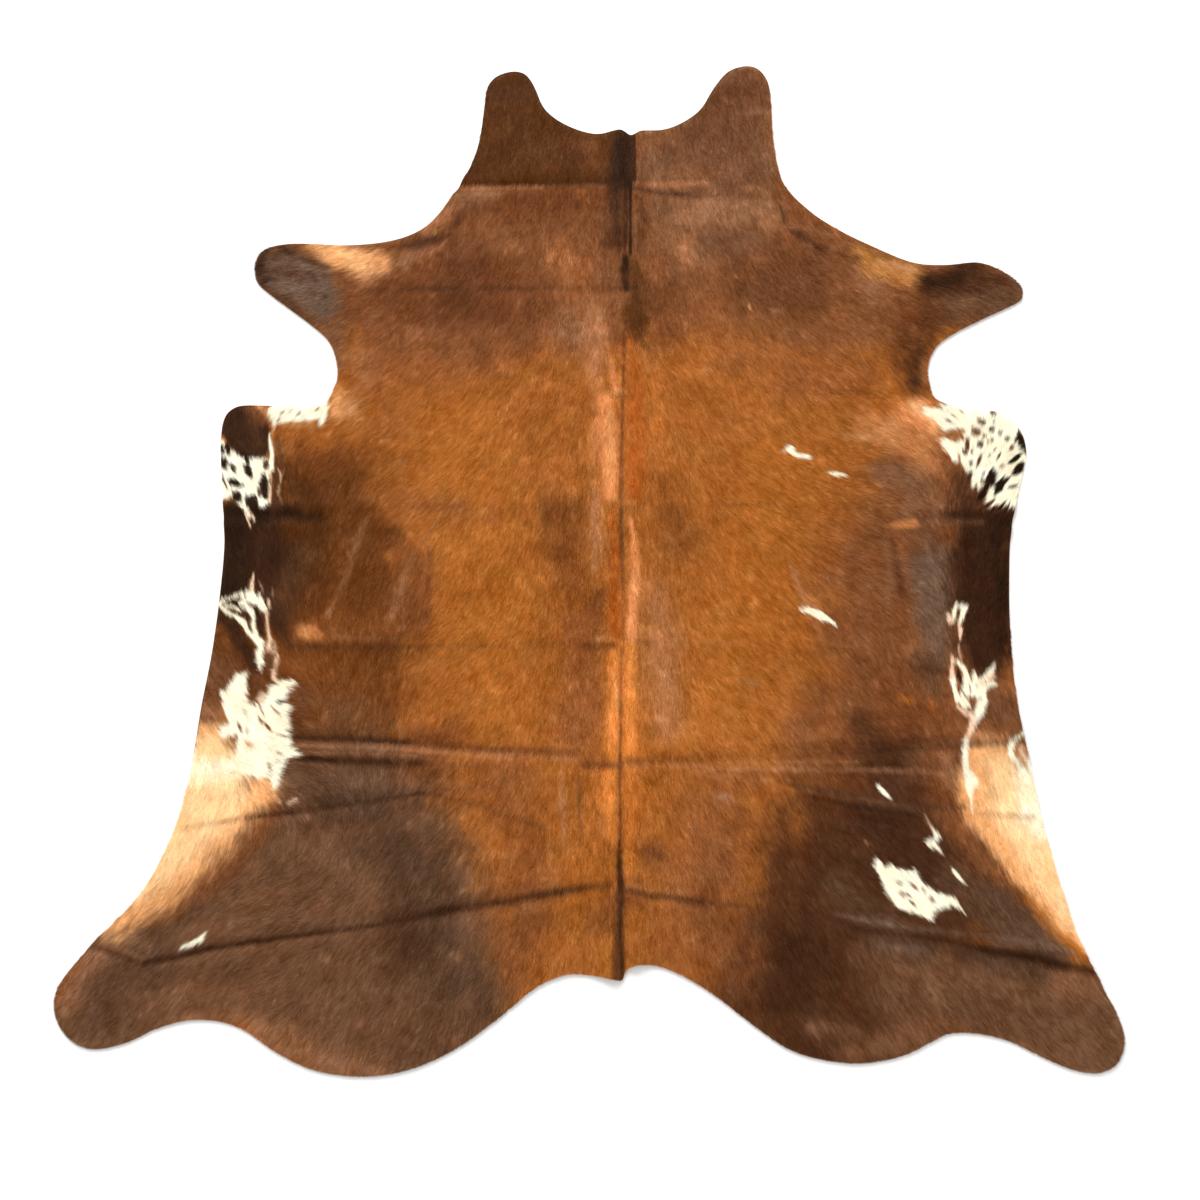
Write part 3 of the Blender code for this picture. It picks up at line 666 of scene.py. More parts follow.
    ("dark umber", 4, 1, (61,-655,2, 60,-700,5, 63,-745,7, 64,-770,4)),
    ("liver", 6, 1, (61,-760,8, 59,-840,9, 56,-910,12)),
    ("dark umber", 4, 0.8, (63,-770,4, 62,-840,3, 66,-910,4)),
    # loin and hips
    # along the left loin fold: painted shade in dark umber, chestnut and brown, painted highlight in fawn,
    # rose and dun
    ("dark umber", 4, 1, (-580,-457,3, -500,-461,5.5, -400,-465,6, -330,-470,5)),
    ("chestnut", 5, 1, (-340,-469,6, -200,-482,5, -70,-487,5, -10,-490,4)),
    ("fawn", 4, 1, (-560,-474,4, -440,-477,4, -340,-482,4)),
    ("rose", 3, 1, (-360,-481,4, -280,-488,4, -180,-494,4, -20,-501,3)),
    ("dun", 3, 1, (-550,-487,3, -420,-492,3, -330,-496,2)),
    ("dark umber", 5, 1, (-560,-498,3, -470,-504,7, -380,-508,6, -310,-508,3)),
    ("brown", 6, 0.8, (-310,-508,4, -200,-514,4, -80,-522,2)),
    ("dun", 3, 0.8, (-375,-507,1.5, -350,-508,3)),
    ("chestnut", 5, 1, (-8,-512,8, 62,-514,6)),
    # along the right loin fold: painted shade in chestnut and dark umber, painted highlight in fawn and
    # rose
    ("chestnut", 4, 0.9, (68,-505,4, 130,-504,4, 220,-500,2, 400,-498,2)),
    ("dark umber", 5, 0.7, (400,-497,2, 510,-488,3, 700,-478,3, 850,-466,2)),
    ("fawn", 2, 0.8, (300,-508,1.5, 520,-508,2)),
    ("rose", 3, 1, (80,-514,2.5, 200,-516,3, 300,-520,3.5, 440,-522,3.5)),
    ("fawn", 3, 1, (430,-522,3, 560,-522,3.5, 710,-528,2)),
    ("rose", 8, 0.6, (210,-528,4, 340,-540,5)),
    ("copper", 6, 1, (378,-556,6, 390,-558,8)),
    ("fawn", 8, 1, (248,-573,10, 264,-575,10)),
    # painted shade in brown, dark umber and chestnut along the left hip fold
    ("brown", 5, 0.7, (-765,-633,1, -660,-614,3)),
    ("dark umber", 3, 1, (-650,-612,3, -580,-605,4.5, -500,-594,4.5, -420,-583,3.5, -320,-567,3.5,
      -290,-568,3.5)),
    ("brown", 8, 0.8, (-300,-567,4, -230,-560,6, -160,-545,6)),
    ("chestnut", 5, 0.9, (-290,-569,3, -206,-590,3, -150,-612,3, -90,-630,4)),
    # painted shade in seal and black brown along the right hip fold
    ("seal", 4, 1, (390,-550,2, 440,-558,5, 520,-578,4, 620,-593,4, 720,-592,3)),
    ("seal", 3, 0.8, (480,-585,2, 580,-602,2.5, 660,-600,2)),
    ("black brown", 4, 0.7, (420,-570,2, 500,-590,4, 620,-608,3)),
    ("fawn", 5, 0.7, (740,-604,2, 850,-612,3)),
    ("rose", 6, 0.7, (-52,-530,5, -48,-600,8, -40,-680,3)),
    ("brown", 6, 0.7, (-18,-530,4, -12,-660,4)),
    ("fawn", 3, 0.6, (12,-585,1, 42,-665,2)),
    ("fawn", 4, 0.8, (204,-632,3, 202,-645,2)),
    ("chestnut", 12, 0.8, (110,-675,10, 135,-685,10)),
    # rump folds
    # painted shade along the rump folds, with painted highlight in fawn and amber on their lips
    ("dark umber", 4, 1, (-820,-878,3, -776,-872,5, -700,-853,5.5, -600,-838,4, -500,-825,3.5,
      -400,-812,3)),
    ("dark umber", 5, 1, (-400,-812,2, -320,-798,5, -270,-786,8, -225,-779,5)),
    ("umber", 5, 1, (-235,-782,4, -170,-772,5, -100,-760,7, -20,-746,6, 45,-737,2), (67,-747,4, 120,-758,8,
      170,-764,6, 215,-770,6)),
    ("rose", 3, 0.9, (-238,-748,2, -190,-746,2.2)),
    ("fawn", 4, 0.5, (-180,-758,2, -50,-738,2)),
    ("liver", 4, 0.9, (215,-771,3, 300,-777,3, 400,-783,2)),
    ("amber", 3, 1, (74,-737,3, 130,-745,3, 200,-756,2)),
    # on the right leg fold: painted highlight in ash along the ridge, painted shade in dark umber and black
    # brown below it
    ("ash", 5, 0.9, (460,-790,2, 500,-800,4, 560,-810,5, 640,-820,3, 740,-831,3, 800,-840,6, 860,-851,6,
      900,-860,4)),
    ("dark umber", 6, 0.9, (500,-818,3, 600,-830,2, 680,-842,5, 740,-857,8, 800,-865,9, 860,-879,8,
      930,-894,6)),
    ("black brown", 5, 0.5, (710,-852,3, 800,-866,5, 870,-881,4)),
    ("dark umber", 4, 0.6, (500,-784,2, 600,-790,2, 700,-806,3)),
    ("ash", 8, 0.9, (530,-842,5, 565,-851,8, 630,-858,4)),
    # on the left leg fold: painted highlight in dun along the ridge, painted shade in umber below it
    ("dun", 3, 0.9, (-935,-838,3, -870,-852,3, -820,-872,2)),
    ("umber", 3, 0.9, (-930,-846,2, -870,-862,3, -820,-882,3)),
    ("deep tan", 10, 0.8, (-745,-440,8, -720,-448,6)),
    ("deep tan", 10, 0.9, (770,-487,10, 800,-485,8)),
)

# The white marks of both sides, and the dark hair that shows in them. The same columns.
MARKS = (
    # left belly
    ("dark umber", 3, 1, (-750,205,35, -715,200,48, -702,168,45, -690,148,35)),
    ("umber", 20, 0.8, (-700,205,12, -682,155,12)),
    ("brown", 12, 0.9, (-706,236,12, -680,208,14)),
    ("honey", 6, 0.9, (-692,242,4, -668,224,10, -663,208,4)),
    ("ivory", 3, 1, (-645,225,24, -600,230,24, -562,228,20), (-652,206,7, -653,195,3), (-555,255,12,
      -554,230,13, -556,198,4)),
    # left net
    ("ivory", 3, 1, (-758,156,6, -748,128,17, -727,92,32, -708,64,36, -690,40,32), (-700,100,22,
      -674,106,20, -672,60,20, -668,28,16), (-764,150,16, -756,90,18, -748,56,26)),
    ("dark umber", 2, 1, (-712,146,12, -696,137,13, -680,138,10)),
    ("blush", 2, 0.9, (-650,196,2, -655,180,1.5)),
    ("ivory", 2, 1, (-661,176,2, -659,162,3.2, -654,130,4.5, -653,100,6)),
    ("blush", 2, 1, (-654,92,2, -650,66,1.5, -651,46,3, -650,26,3), (-700,6,2, -692,-12,2, -684,-27,2)),
    ("blush", 2, 0.9, (-638,98,1.5, -631,88,2, -632,62,1.5, -634,46,2), (-685,0,3, -678,-14,3)),
    ("blush", 2, 0.5, (-626,96,2, -629,84,2)),
    ("blush", 2, 0.4, (-630,36,2, -624,22,1)),
    ("ivory", 2, 1, (-693,6,4, -689,-6,2)),
    # left strip
    ("blush", 2, 1, (-673,-128,2, -673,-160,5)),
    ("ivory", 2, 1, (-696,-170,4, -677,-174,12, -658,-184,9, -645,-200,6)),
    ("cream", 2, 1, (-738,-188,4, -718,-178,3, -700,-172,4), (-734,-192,3, -720,-206,4, -702,-214,3),
     (-722,-192,3, -705,-197,3, -690,-204,3)),
    ("ivory", 2, 1, (-703,-214,4, -685,-226,6, -674,-244,5, -660,-260,5, -650,-272,6), (-692,-188,7,
      -674,-200,6, -665,-216,4, -664,-236,4, -656,-254,5, -648,-266,5)),
    ("blush", 2, 1, (-640,-204,4, -637,-230,2.5, -633,-247,3, -628,-264,4, -632,-282,5), (-637,-182,3,
      -636,-195,3)),
    ("blush", 2, 0.5, (-661,-144,1.5, -652,-156,2, -651,-166,2)),
    ("blush", 2, 0.35, (-631,-158,1, -630,-172,1.5)),
    ("ivory", 2, 1, (-647,-268,6, -647,-288,8, -645,-306,7, -645,-326,3)),
    ("blush", 2, 0.9, (-616,-270,1.5, -619,-284,4, -624,-292,2)),
    ("blush", 2, 1, (-611,-293,2, -615,-315,3, -617,-334,4, -613,-346,4)),
    # left fan
    ("ivory", 3, 1, (-668,-329,3, -682,-342,12, -687,-365,20, -688,-392,26, -676,-425,26), (-712,-372,7,
      -700,-390,12), (-704,-447,11, -680,-440,14), (-656,-415,24, -646,-455,34, -638,-495,38, -625,-510,26),
     (-580,-350,8, -597,-360,15, -609,-374,20, -612,-400,28, -610,-440,34, -602,-475,34), (-600,-392,12,
      -582,-398,6), (-585,-480,16, -560,-490,5), (-600,-500,23, -600,-530,12, -600,-550,7)),
    ("blush", 3, 0.9, (-636,-372,6, -640,-382,7)),
    ("blush", 3, 0.7, (-589,-578,2, -586,-584,2)),
    ("blush", 3, 0.9, (-570,-586,3, -555,-578,3)),
    # left rump fleck
    ("ivory", 2, 1, (-754,-853,2, -737,-846,5, -718,-838,6, -712,-828,2)),
    # right lobe
    ("ivory", 3, 1, (706,227,9, 742,219,25, 800,216,30, 862,188,42), (738,160,8, 757,147,15, 790,140,26,
      845,138,52)),
    ("ivory", 2, 1, (734,153,5, 750,138,10, 756,120,7)),
    ("ivory", 3, 1, (782,188,11, 796,168,18), (776,122,14, 802,96,22, 838,74,34, 850,42,26), (875,120,30,
      865,60,26, 856,36,20)),
    ("ivory", 2, 1, (792,80,9, 788,62,4), (800,72,6, 799,50,2), (822,40,10, 810,26,4), (832,26,6, 817,14,2),
     (846,20,5, 835,8,2), (860,22,5, 853,10,2), (870,24,4, 866,12,2)),
    ("ivory", 3, 0.9, (738,188,6, 764,194,7)),
    ("rose", 3, 1, (755,166,5, 764,177,8, 776,184,4)),
    # flecks of the right back and flank
    ("ivory", 2, 1, (404,139,3, 417,143,8), (417,138,6, 432,129,5, 456,126,5), (496,91,3, 512,88,5.5,
      527,85,3.5), (426,-202,4, 450,-205,9, 468,-216,7.5, 491,-231,2)),
    # right tuft
    ("cream", 2, 1, (734,-190,3, 729,-206,5, 725,-224,4)),
    ("ivory", 2, 1, (737,-193,4, 752,-197,6), (749,-200,6, 744,-216,5, 739,-228,4)),
    ("blush", 2, 1, (717,-212,4, 719,-226,5), (738,-230,3, 738,-245,4, 736,-262,1.5)),
    ("blush", 2, 0.6, (733,-274,2, 732,-288,3, 735,-304,3)),
    # right flame
    ("blush", 2, 1, (718,-300,3, 716,-322,4, 716,-348,5)),
    ("ivory", 2, 1, (716,-345,5, 719,-368,6, 728,-385,10, 740,-398,9), (727,-308,4, 740,-322,6, 744,-345,8,
      738,-370,9, 736,-390,7), (759,-330,4, 757,-345,5, 753,-368,9), (758,-368,11, 770,-372,10,
      768,-392,10), (804,-308,1, 795,-324,4, 782,-338,6, 766,-350,6)),
    ("blush", 2, 1, (801,-334,2, 788,-343,5, 772,-352,6)),
    ("ivory", 2, 1, (803,-351,2, 788,-353,5, 772,-362,7), (776,-385,5, 767,-402,9, 756,-418,8, 748,-430,6)),
    ("blush", 2, 1, (722,-398,4, 736,-412,4, 750,-414,5)),
    # right strip
    ("blush", 2, 1, (748,-430,6, 742,-446,6, 733,-464,5)),
    ("ivory", 2, 1, (733,-464,5, 729,-484,5, 727,-508,6, 728,-532,6)),
    ("ivory", 3, 1, (734,-530,8, 738,-546,12, 732,-566,6, 734,-598,1)),
    # right edge and arc
    ("blush", 6, 0.9, (836,-480,6, 842,-498,8)),
    ("ivory", 3, 1, (842,-452,2, 830,-461,4, 819,-473,6, 816,-492,7)),
    ("ivory", 6, 0.9, (850,-505,6, 856,-530,6)),
    ("ivory", 3, 0.9, (818,-494,7, 832,-514,6, 842,-530,8)),
    # right rump patch
    ("ivory", 2, 1, (551,-703,10, 568,-720,18, 587,-745,28, 612,-758,30, 640,-768,22, 665,-767,14,
      683,-768,10, 697,-781,3, 706,-791,1), (594,-722,13, 612,-727,13, 617,-713,4), (585,-772,10,
      620,-776,16, 640,-794,8), (560,-556,5, 567,-564,6.5, 577,-575,2)),
    # right rump streaks
    ("blush", 2, 0.7, (642,-605,0.5, 650,-622,2, 657,-636,3)),
    ("ivory", 2, 1, (657,-636,3, 664,-647,5, 658,-656,5, 650,-661,9), (658,-664,4, 671,-680,1), (688,-708,1,
      694,-717,5, 702,-727,3, 711,-736,1)),
    # darker holes in the left net
    ("black brown", 1.5, 1, (-760,149,5, -756,136,5), (-750,155,3, -746,145,6.5, -742,134,4), (-753,120,7,
      -751,112,9.5, -748,104,7), (-734,109,3, -730,101,6, -726,93,3), (-704,126,4, -700,112,3, -704,105,5,
      -699,96,9.5, -692,84,6), (-733,74,4, -727,69,8.5, -720,65,5, -709,63,4)),
    ("seal", 1.5, 1, (-665,114,5, -663,104,6)),
    ("umber", 1.5, 0.9, (-752,90,2, -749,76,3, -741,62,2, -739,54,1)),
    ("black brown", 1.5, 1, (-722,45,8, -718,37,11.5, -711,30,6), (-695,34,6, -686,28,13, -679,15,10,
      -675,8,5), (-666,83,4, -665,68,9, -661,50,7, -658,35,4)),
    ("seal", 1.5, 1, (-675,55,4, -671,42,5)),
    ("umber", 1.5, 0.8, (-701,48,1.5, -698,38,1)),
    # darker holes in the left strip
    ("dark umber", 1.5, 1, (-712,-180,2, -706,-184,3, -700,-189,1), (-712,-201,3, -700,-206,3)),
    ("umber", 1.5, 1, (-691,-203,2, -676,-216,2.5), (-674,-232,1.5, -667,-246,1.5)),
    ("dark umber", 1.5, 1, (-662,-194,2, -655,-210,5, -649,-230,8, -646,-252,5)),
    ("dun", 1.5, 0.7, (-688,-166,1.5, -684,-176,2.5)),
    ("umber", 1.5, 0.9, (-697,-192,1, -684,-196,1.5)),
    ("dun", 1.5, 0.8, (-681,-186,1, -671,-196,1.5)),
    ("seal", 2, 1, (-629,-296,4, -628,-317,5)),
    ("fawn", 3, 0.6, (-655,-205,2, -648,-212,3)),
    # darker slits in the left fan
    ("liver", 3, 1, (-650,-345,14, -645,-360,10, -652,-374,5)),
    ("brown", 1.5, 1, (-679,-432,2, -675,-440,3, -672,-450,1)),
    ("dun", 1.5, 0.7, (-668,-405,2, -667,-411,1)),
    ("dun", 1.5, 0.8, (-656,-384,1, -648,-398,1)),
    ("dun", 1.5, 1, (-638,-400,1.5, -631,-413,2)),
    ("brown", 1.5, 1, (-640,-417,1, -634,-429,3), (-628,-430,2, -620,-438,3, -613,-448,1)),
    ("fawn", 1.5, 0.8, (-617,-397,1, -602,-411,2)),
    ("dun", 1.5, 1, (-602,-453,1, -577,-457,2)),
    ("seal", 1.5, 1, (-582,-445,2, -574,-447,2), (-603,-389,4, -590,-387,3, -578,-383,2)),
    ("dun", 1.5, 0.9, (-586,-361,1, -574,-355,2), (-595,-486,2, -592,-494,1), (-596,-500,1, -602,-508,2),
     (-612,-511,3, -608,-531,1)),
    ("fawn", 3, 0.6, (-661,-441,1, -660,-450,2)),
    ("honey", 3, 0.8, (-661,-468,3, -651,-473,5)),
    ("fawn", 1.5, 0.8, (-574,-474,2, -568,-477,1)),
    # darker islands and spikes in the right lobe
    ("black brown", 1.5, 1, (893,190,1, 893,170,6, 897,150,7, 901,136,2), (867,113,2, 878,121,5, 889,130,4),
     (872,89,4, 883,98,8, 893,108,6), (815,58,6, 824,76,11, 832,94,5)),
    ("dark umber", 1.5, 1, (886,163,4, 882,158,1), (807,74,4, 814,68,4)),
    ("black brown", 1.5, 1, (831,44,4, 841,60,9, 849,76,5), (849,66,4, 861,79,3), (798,36,6, 811,49,5,
      820,60,2), (822,8,4, 829,20,1), (836,10,4, 846,23,3, 851,28,1), (850,8,3, 859,25,1)),
    ("umber", 1.5, 1, (862,60,3, 875,61,4)),
    ("dark umber", 1.5, 1, (793,43,2, 793,66,1)),
    ("umber", 1.5, 1, (780,74,4, 785,90,4)),
    # darker slits in the right flame and tuft
    ("dark umber", 1.5, 1, (727,-324,2, 728,-340,5, 734,-353,2)),
    ("brown", 1.5, 1, (735,-405,3, 746,-403,2)),
    ("dun", 1.5, 1, (730,-363,1, 746,-389,1), (752,-388,1, 768,-382,2)),
    ("dun", 1.5, 0.9, (748,-352,1, 749,-366,2), (779,-346,2, 795,-343,1)),
    ("umber", 1.5, 1, (738,-198,1, 735,-218,2)),
)

# Small spots in the white: a row for each colour, then x,y,radius,length of its spots, each
# drawn out along the hair.
SPOTS = (
    ("umber", 843,224,7,16, 820,202,6,16, 809,153,7,16, 777,136,5,12, 836,187,6,14, 851,178,4,11,
     866,166,5,16, 563,-701,4,12, 842,204,3,8),
    ("dun", 812,206,6,14, 803,181,10,22, 797,190,4,12),
    ("liver", 820,172,4,10, 783,152,5,36, 792,137,4,10, 804,116,4,34, 787,110,4,14, 845,127,3,22,
     811,88,3,12, 873,146,4,14, 603,-757,3,12, 610,-771,3,16, 588,-734,4,10),
    ("fawn", 849,106,4,10, 835,163,3,10, 826,160,3,9, 742,243,3,9, 735,234,3,10, 749,206,4,11, 760,216,3,10,
     778,227,3,10, 838,142,3,9, 828,130,3,8, 592,-755,5,12, 614,-741,3,16, 646,-765,4,12, 632,-748,3,12,
     -640,224,3,10, -566,232,4,14, -605,222,3,10, -622,229,3,8, -646,208,3,8, 528,-659,3,8),
)

# Which way the hair lies: a row for each part of the hide, then x,y,degrees of its places,
# turned anticlockwise from +X. It runs from head to tail, and out from the spine to the legs.
LAY = (
    ("spine", 70,900,-90, 70,500,-90, 70,100,-90, 70,-300,-90, 70,-800,-90),
    ("right neck", 350,1000,-85, 280,800,-80),
    ("right shoulder", 320,550,-65, 550,500,-45),
    ("right foreleg", 750,520,-25, 880,510,-20),
    ("right side", 250,250,-55, 400,50,-35, 600,100,-20, 620,-120,-30, 350,-300,-45),
    ("right belly lobe", 740,200,-40, 820,170,-108, 840,50,-122, 880,110,-138),
    ("right flank", 800,-150,-105, 720,-350,-80, 810,-400,-70, 580,-420,-50),
    ("right rump", 300,-600,-60, 600,-720,-48, 450,-950,-60, 200,-800,-75),
    ("right hind leg", 820,-620,-80, 840,-880,-55, 930,-1020,-50),
    ("left neck", -180,1000,-95, -120,820,-97),
    ("left shoulder", -250,600,-112, -400,480,-125),
    ("left foreleg", -550,560,-160, -680,560,-170),
    ("left side", -150,250,-118, -350,100,-132, -500,-100,-112, -250,-300,-125, -500,220,-140),
    ("left belly lobe", -600,220,-130, -710,180,-80, -710,80,-58),
    ("left flank", -690,-100,-75, -680,-220,-58, -640,-420,-50, -575,-400,-8, -565,-480,-12,
     -500,-400,-115),
    ("left rump", -300,-620,-130, -600,-800,-150, -400,-950,-118, -100,-800,-105),
    ("left hind leg", -740,-640,-105, -820,-820,-130, -920,-960,-125),
)
LAY_REACH = 0.03               # within about this distance a place sets the lay alone


def depth_in(route, x, y):
    """How far inside a patch each point lies: the half width of its middle line at the nearest
    place, less the distance from it."""
    if len(route) == 1:
        return route[0, 2] - np.hypot(x - route[0, 0], y - route[0, 1])
    depth = np.full(len(x), -np.inf)
    for start, end in zip(route[:-1], route[1:]):
        share, distance = off_side(start, end, x, y)
        depth = np.maximum(depth, start[2] + share * (end[2] - start[2]) - distance)
    return depth


def lay_of(x, y):
    """Which way the hair lies at each point, as a unit vector: the average of the LAY places,
    each weighed by one over its distance cubed, less steeply within LAY_REACH."""
    across, along = np.zeros(len(x)), np.zeros(len(x))
    for _, *numbers in LAY:
        for at_x, at_y, degrees in np.reshape(numbers, (-1, 3)):
            weight = ((x - at_x / 1000) ** 2 + (y - at_y / 1000) ** 2 + LAY_REACH**2) ** -1.5
            across += weight * np.cos(np.radians(degrees))
            along += weight * np.sin(np.radians(degrees))
    length = np.hypot(across, along)
    return across / length, along / length


STREAK_SAMPLES = 7
STREAK_GAIN = 1.3


def streaks(x, y, way, layers):
    """Noise drawn out along the hair. A row for each size: its strength, its width, its length,
    its lattice. Each is plain noise added up at even places along the way the hair lies, over
    the root of their number, and a little stronger."""
    total = 0.0
    for strength, wide, long, lattice in layers:
        for step in np.linspace(-0.5, 0.5, STREAK_SAMPLES):
            total = total + strength * noise((x + step * long * way[0]) / wide,
                                             (y + step * long * way[1]) / wide, lattice)
    return total / np.sqrt(STREAK_SAMPLES) * STREAK_GAIN


# How far the border of a colour strays. Wander is smooth, fringe follows the hair.
WANDER = ((0.6, 0.045, 2), (0.4, 0.014, 3))
FRINGE = ((0.6, 0.0042, 0.022, 1), (0.4, 0.0024, 0.014, 2))
PATCH_WANDER = 0.55            # of a patch's softness
PATCH_FRINGE = 0.30            # of a patch's softness, up to PATCH_FRINGE_MOST
PATCH_FRINGE_MOST = 0.006
STROKE_WANDER = 0.35           # of a stroke's softness
STROKE_FRINGE = 0.0006
MARK_WANDER = 0.15, 0.0008, 0.0030     # of a mark's half width, the least, the most
MARK_FRINGE = 0.30, 0.0008, 0.0034
SPOT_FRINGE = 0.0015
SPOT_SOFT = 0.0015
SPOT_TAPER = 0.7, 1.0, 0.6     # of its radius, from one end to the other
SHORTEST_SPOT = 0.0005         # from its middle to its end's middle
SOFT_REACH = 2.2               # how far a colour can reach past its half width, in softnesses,
STRAY_REACH = 0.006            # and in metres on top of that
STROKE_FADE = 0.3              # how much a stroke thins where the coat is patchy
PATCHY = ((0.56, 0.045, 3), (0.40, 0.012, 1))

# How the hair is paler and darker within one colour.
GREY = 0.7                     # how nearly paler and darker hair differ by a plain grey
TONE_STREAKS = ((0.045, 0.004, 0.014, 0),)
TONE = ((0.065, 0.006, 1), (0.060, 0.017, 2), (0.06, 0.045, 0), (0.03, 0.110, 3))
FLECKS = ((1.0, 0.009, 0), (0.6, 0.030, 1))
FLECK_FROM = 0.6               # the noise above which a pale fleck shows
FLECK_TONE = 0.30
SWING_IN_DARK = 1.7            # how much all this shows in the darkest hair,
SWING_LOST = 1.4               # how much less of it in the palest,
SWING_RANGE = 0.2, 1.3         # and its least and most
WARM = ((0.02, 0.030, 2),)     # towards red and away from blue, or back


def coat_colour_with_painted_light(x, y):
    """The coat's colour at each point, 0 to 1, with the painted sheen, shade and highlight of its rows:
    the ground, covered by each row in turn by how deep the point lies in it, its border straying;
    then paler and darker by streaks and flecks, dark hair more than pale."""
    shades = {name: np.array(shade) / 255 for name, shade in COLOURS.items()}
    colour = np.tile(shades["copper"], (len(x), 1))
    way = lay_of(x, y)
    wander, fringe = mottle(x, y, WANDER), streaks(x, y, way, FRINGE)
    patchy = np.clip(0.5 + mottle(x, y, PATCHY), 0, 1)

    def lay_on(shade, soft, cover, route, stray, fade=0.0):
        """One colour over what lies near its middle line, its cover falling from whole to
        none within the softness to either side of its border."""
        reach = soft * SOFT_REACH + route[:, 2].max() + STRAY_REACH
        low, high = route[:, :2].min(axis=0) - reach, route[:, :2].max(axis=0) + reach
        near = np.flatnonzero((x > low[0]) & (x < high[0]) & (y > low[1]) & (y < high[1]))
        depth = depth_in(route, x[near], y[near]) + stray[near]
        share = np.clip(0.5 + depth / (2 * soft), 0, 1)
        share = cover * share * share * (3 - 2 * share) * (1 - fade * patchy[near])
        colour[near] += share[:, None] * (shades[shade] - colour[near])

    for shade, soft, cover, *routes in PATCHES:
        soft = soft / 1000
        stray = wander * PATCH_WANDER * soft + fringe * min(PATCH_FRINGE * soft, PATCH_FRINGE_MOST)
        for route in routes:
            lay_on(shade, soft, cover, in_metres(route), stray)
    for shade, soft, cover, *routes in STROKES:
        soft = soft / 1000
        stray = wander * STROKE_WANDER * soft + fringe * STROKE_FRINGE
        for route in routes:
            lay_on(shade, soft, cover, in_metres(route), stray, STROKE_FADE)
    for shade, soft, cover, *routes in MARKS:
        for route in map(in_metres, routes):
            by_wander, by_fringe = (np.clip(share * route[:, 2].max(), least, most)
                                    for share, least, most in (MARK_WANDER, MARK_FRINGE))
            lay_on(shade, soft / 1000, cover, route, wander * by_wander + fringe * by_fringe)
    for shade, *numbers in SPOTS:
        for at_x, at_y, radius, length in in_metres(numbers, 4):
            way_x, way_y = (side[0] for side in lay_of(np.array([at_x]), np.array([at_y])))
            half = max(length / 2 - radius, SHORTEST_SPOT)
            route = np.array([(at_x + way_x * end, at_y + way_y * end, radius * taper)
                              for end, taper in zip((-half, 0, half), SPOT_TAPER)])
            lay_on(shade, SPOT_SOFT, 1.0, route, fringe * SPOT_FRINGE)

    flecks = np.clip(mottle(x, y, FLECKS) - FLECK_FROM, 0, 1)
    tone = mottle(x, y, TONE) + streaks(x, y, way, TONE_STREAKS) + FLECK_TONE * flecks
    pale = colour.mean(axis=1, keepdims=True)
    swing = tone[:, None] * np.clip(SWING_IN_DARK - SWING_LOST * pale, *SWING_RANGE)
    warm = mottle(x, y, WARM)[:, None] * np.array([1.0, 0.0, -1.0])
    return np.clip(colour + swing * (GREY * pale + (1 - GREY) * colour) + warm * colour, 0, 1)


def new_material(name):
    """A new material with nodes, and its shader."""
    material = bpy.data.materials.new(name)
    material.use_nodes = True
    return material, material.node_tree.nodes["Principled BSDF"]


def add_node(material, kind, **numbers):
    """A new shader node of that kind, with a number on each socket named here."""
    node = material.node_tree.nodes.new("ShaderNode" + kind)
    for socket, number in numbers.items():
        node.inputs[socket.replace("_", " ")].default_value = number
    return node


def wire(material, *wires):
    """Join nodes: a row for each wire, from a node's output to a node's input."""
    for source, output, target, socket in wires:
        material.node_tree.links.new(source.outputs[output], target.inputs[socket])


def skin_material(name, light, dark, roughness, grain, bump):
    """Leather: two tones mixed by fine and coarse noise, with a fibrous bump."""
    material, shader = new_material(name)
    shader.inputs["Roughness"].default_value = roughness
    place = add_node(material, "TexCoord")
    coarse = add_node(material, "TexNoise", Scale=grain / 12, Detail=6.0)
    fine = add_node(material, "TexNoise", Scale=grain, Detail=4.0)
    both = add_node(material, "Math")
    both.operation = "MULTIPLY_ADD"
    both.inputs[1].default_value = 0.5
    tones = add_node(material, "ValToRGB")
    for end, position, tone in zip(tones.color_ramp.elements, (0.55, 0.95), (dark, light)):
        end.position = position
        end.color = (*tone, 1)
    relief = add_node(material, "Bump", Strength=0.5, Distance=bump)
    wire(material,
         (place, "Object", coarse, "Vector"), (place, "Object", fine, "Vector"),
         (fine, "Fac", both, 0), (coarse, "Fac", both, 2),
         (both, 0, tones, "Fac"), (tones, "Color", shader, "Base Color"),
         (fine, "Fac", relief, "Height"), (relief, "Normal", shader, "Normal"))
    return material


HAIR_GLOSS = 0.07
HAIR_TINT = (1.0, 0.66, 0.38, 1)     # its gloss is warm
ROUGHNESS_SPREAD = 0.08
STRANDS_A_METRE = 420.0


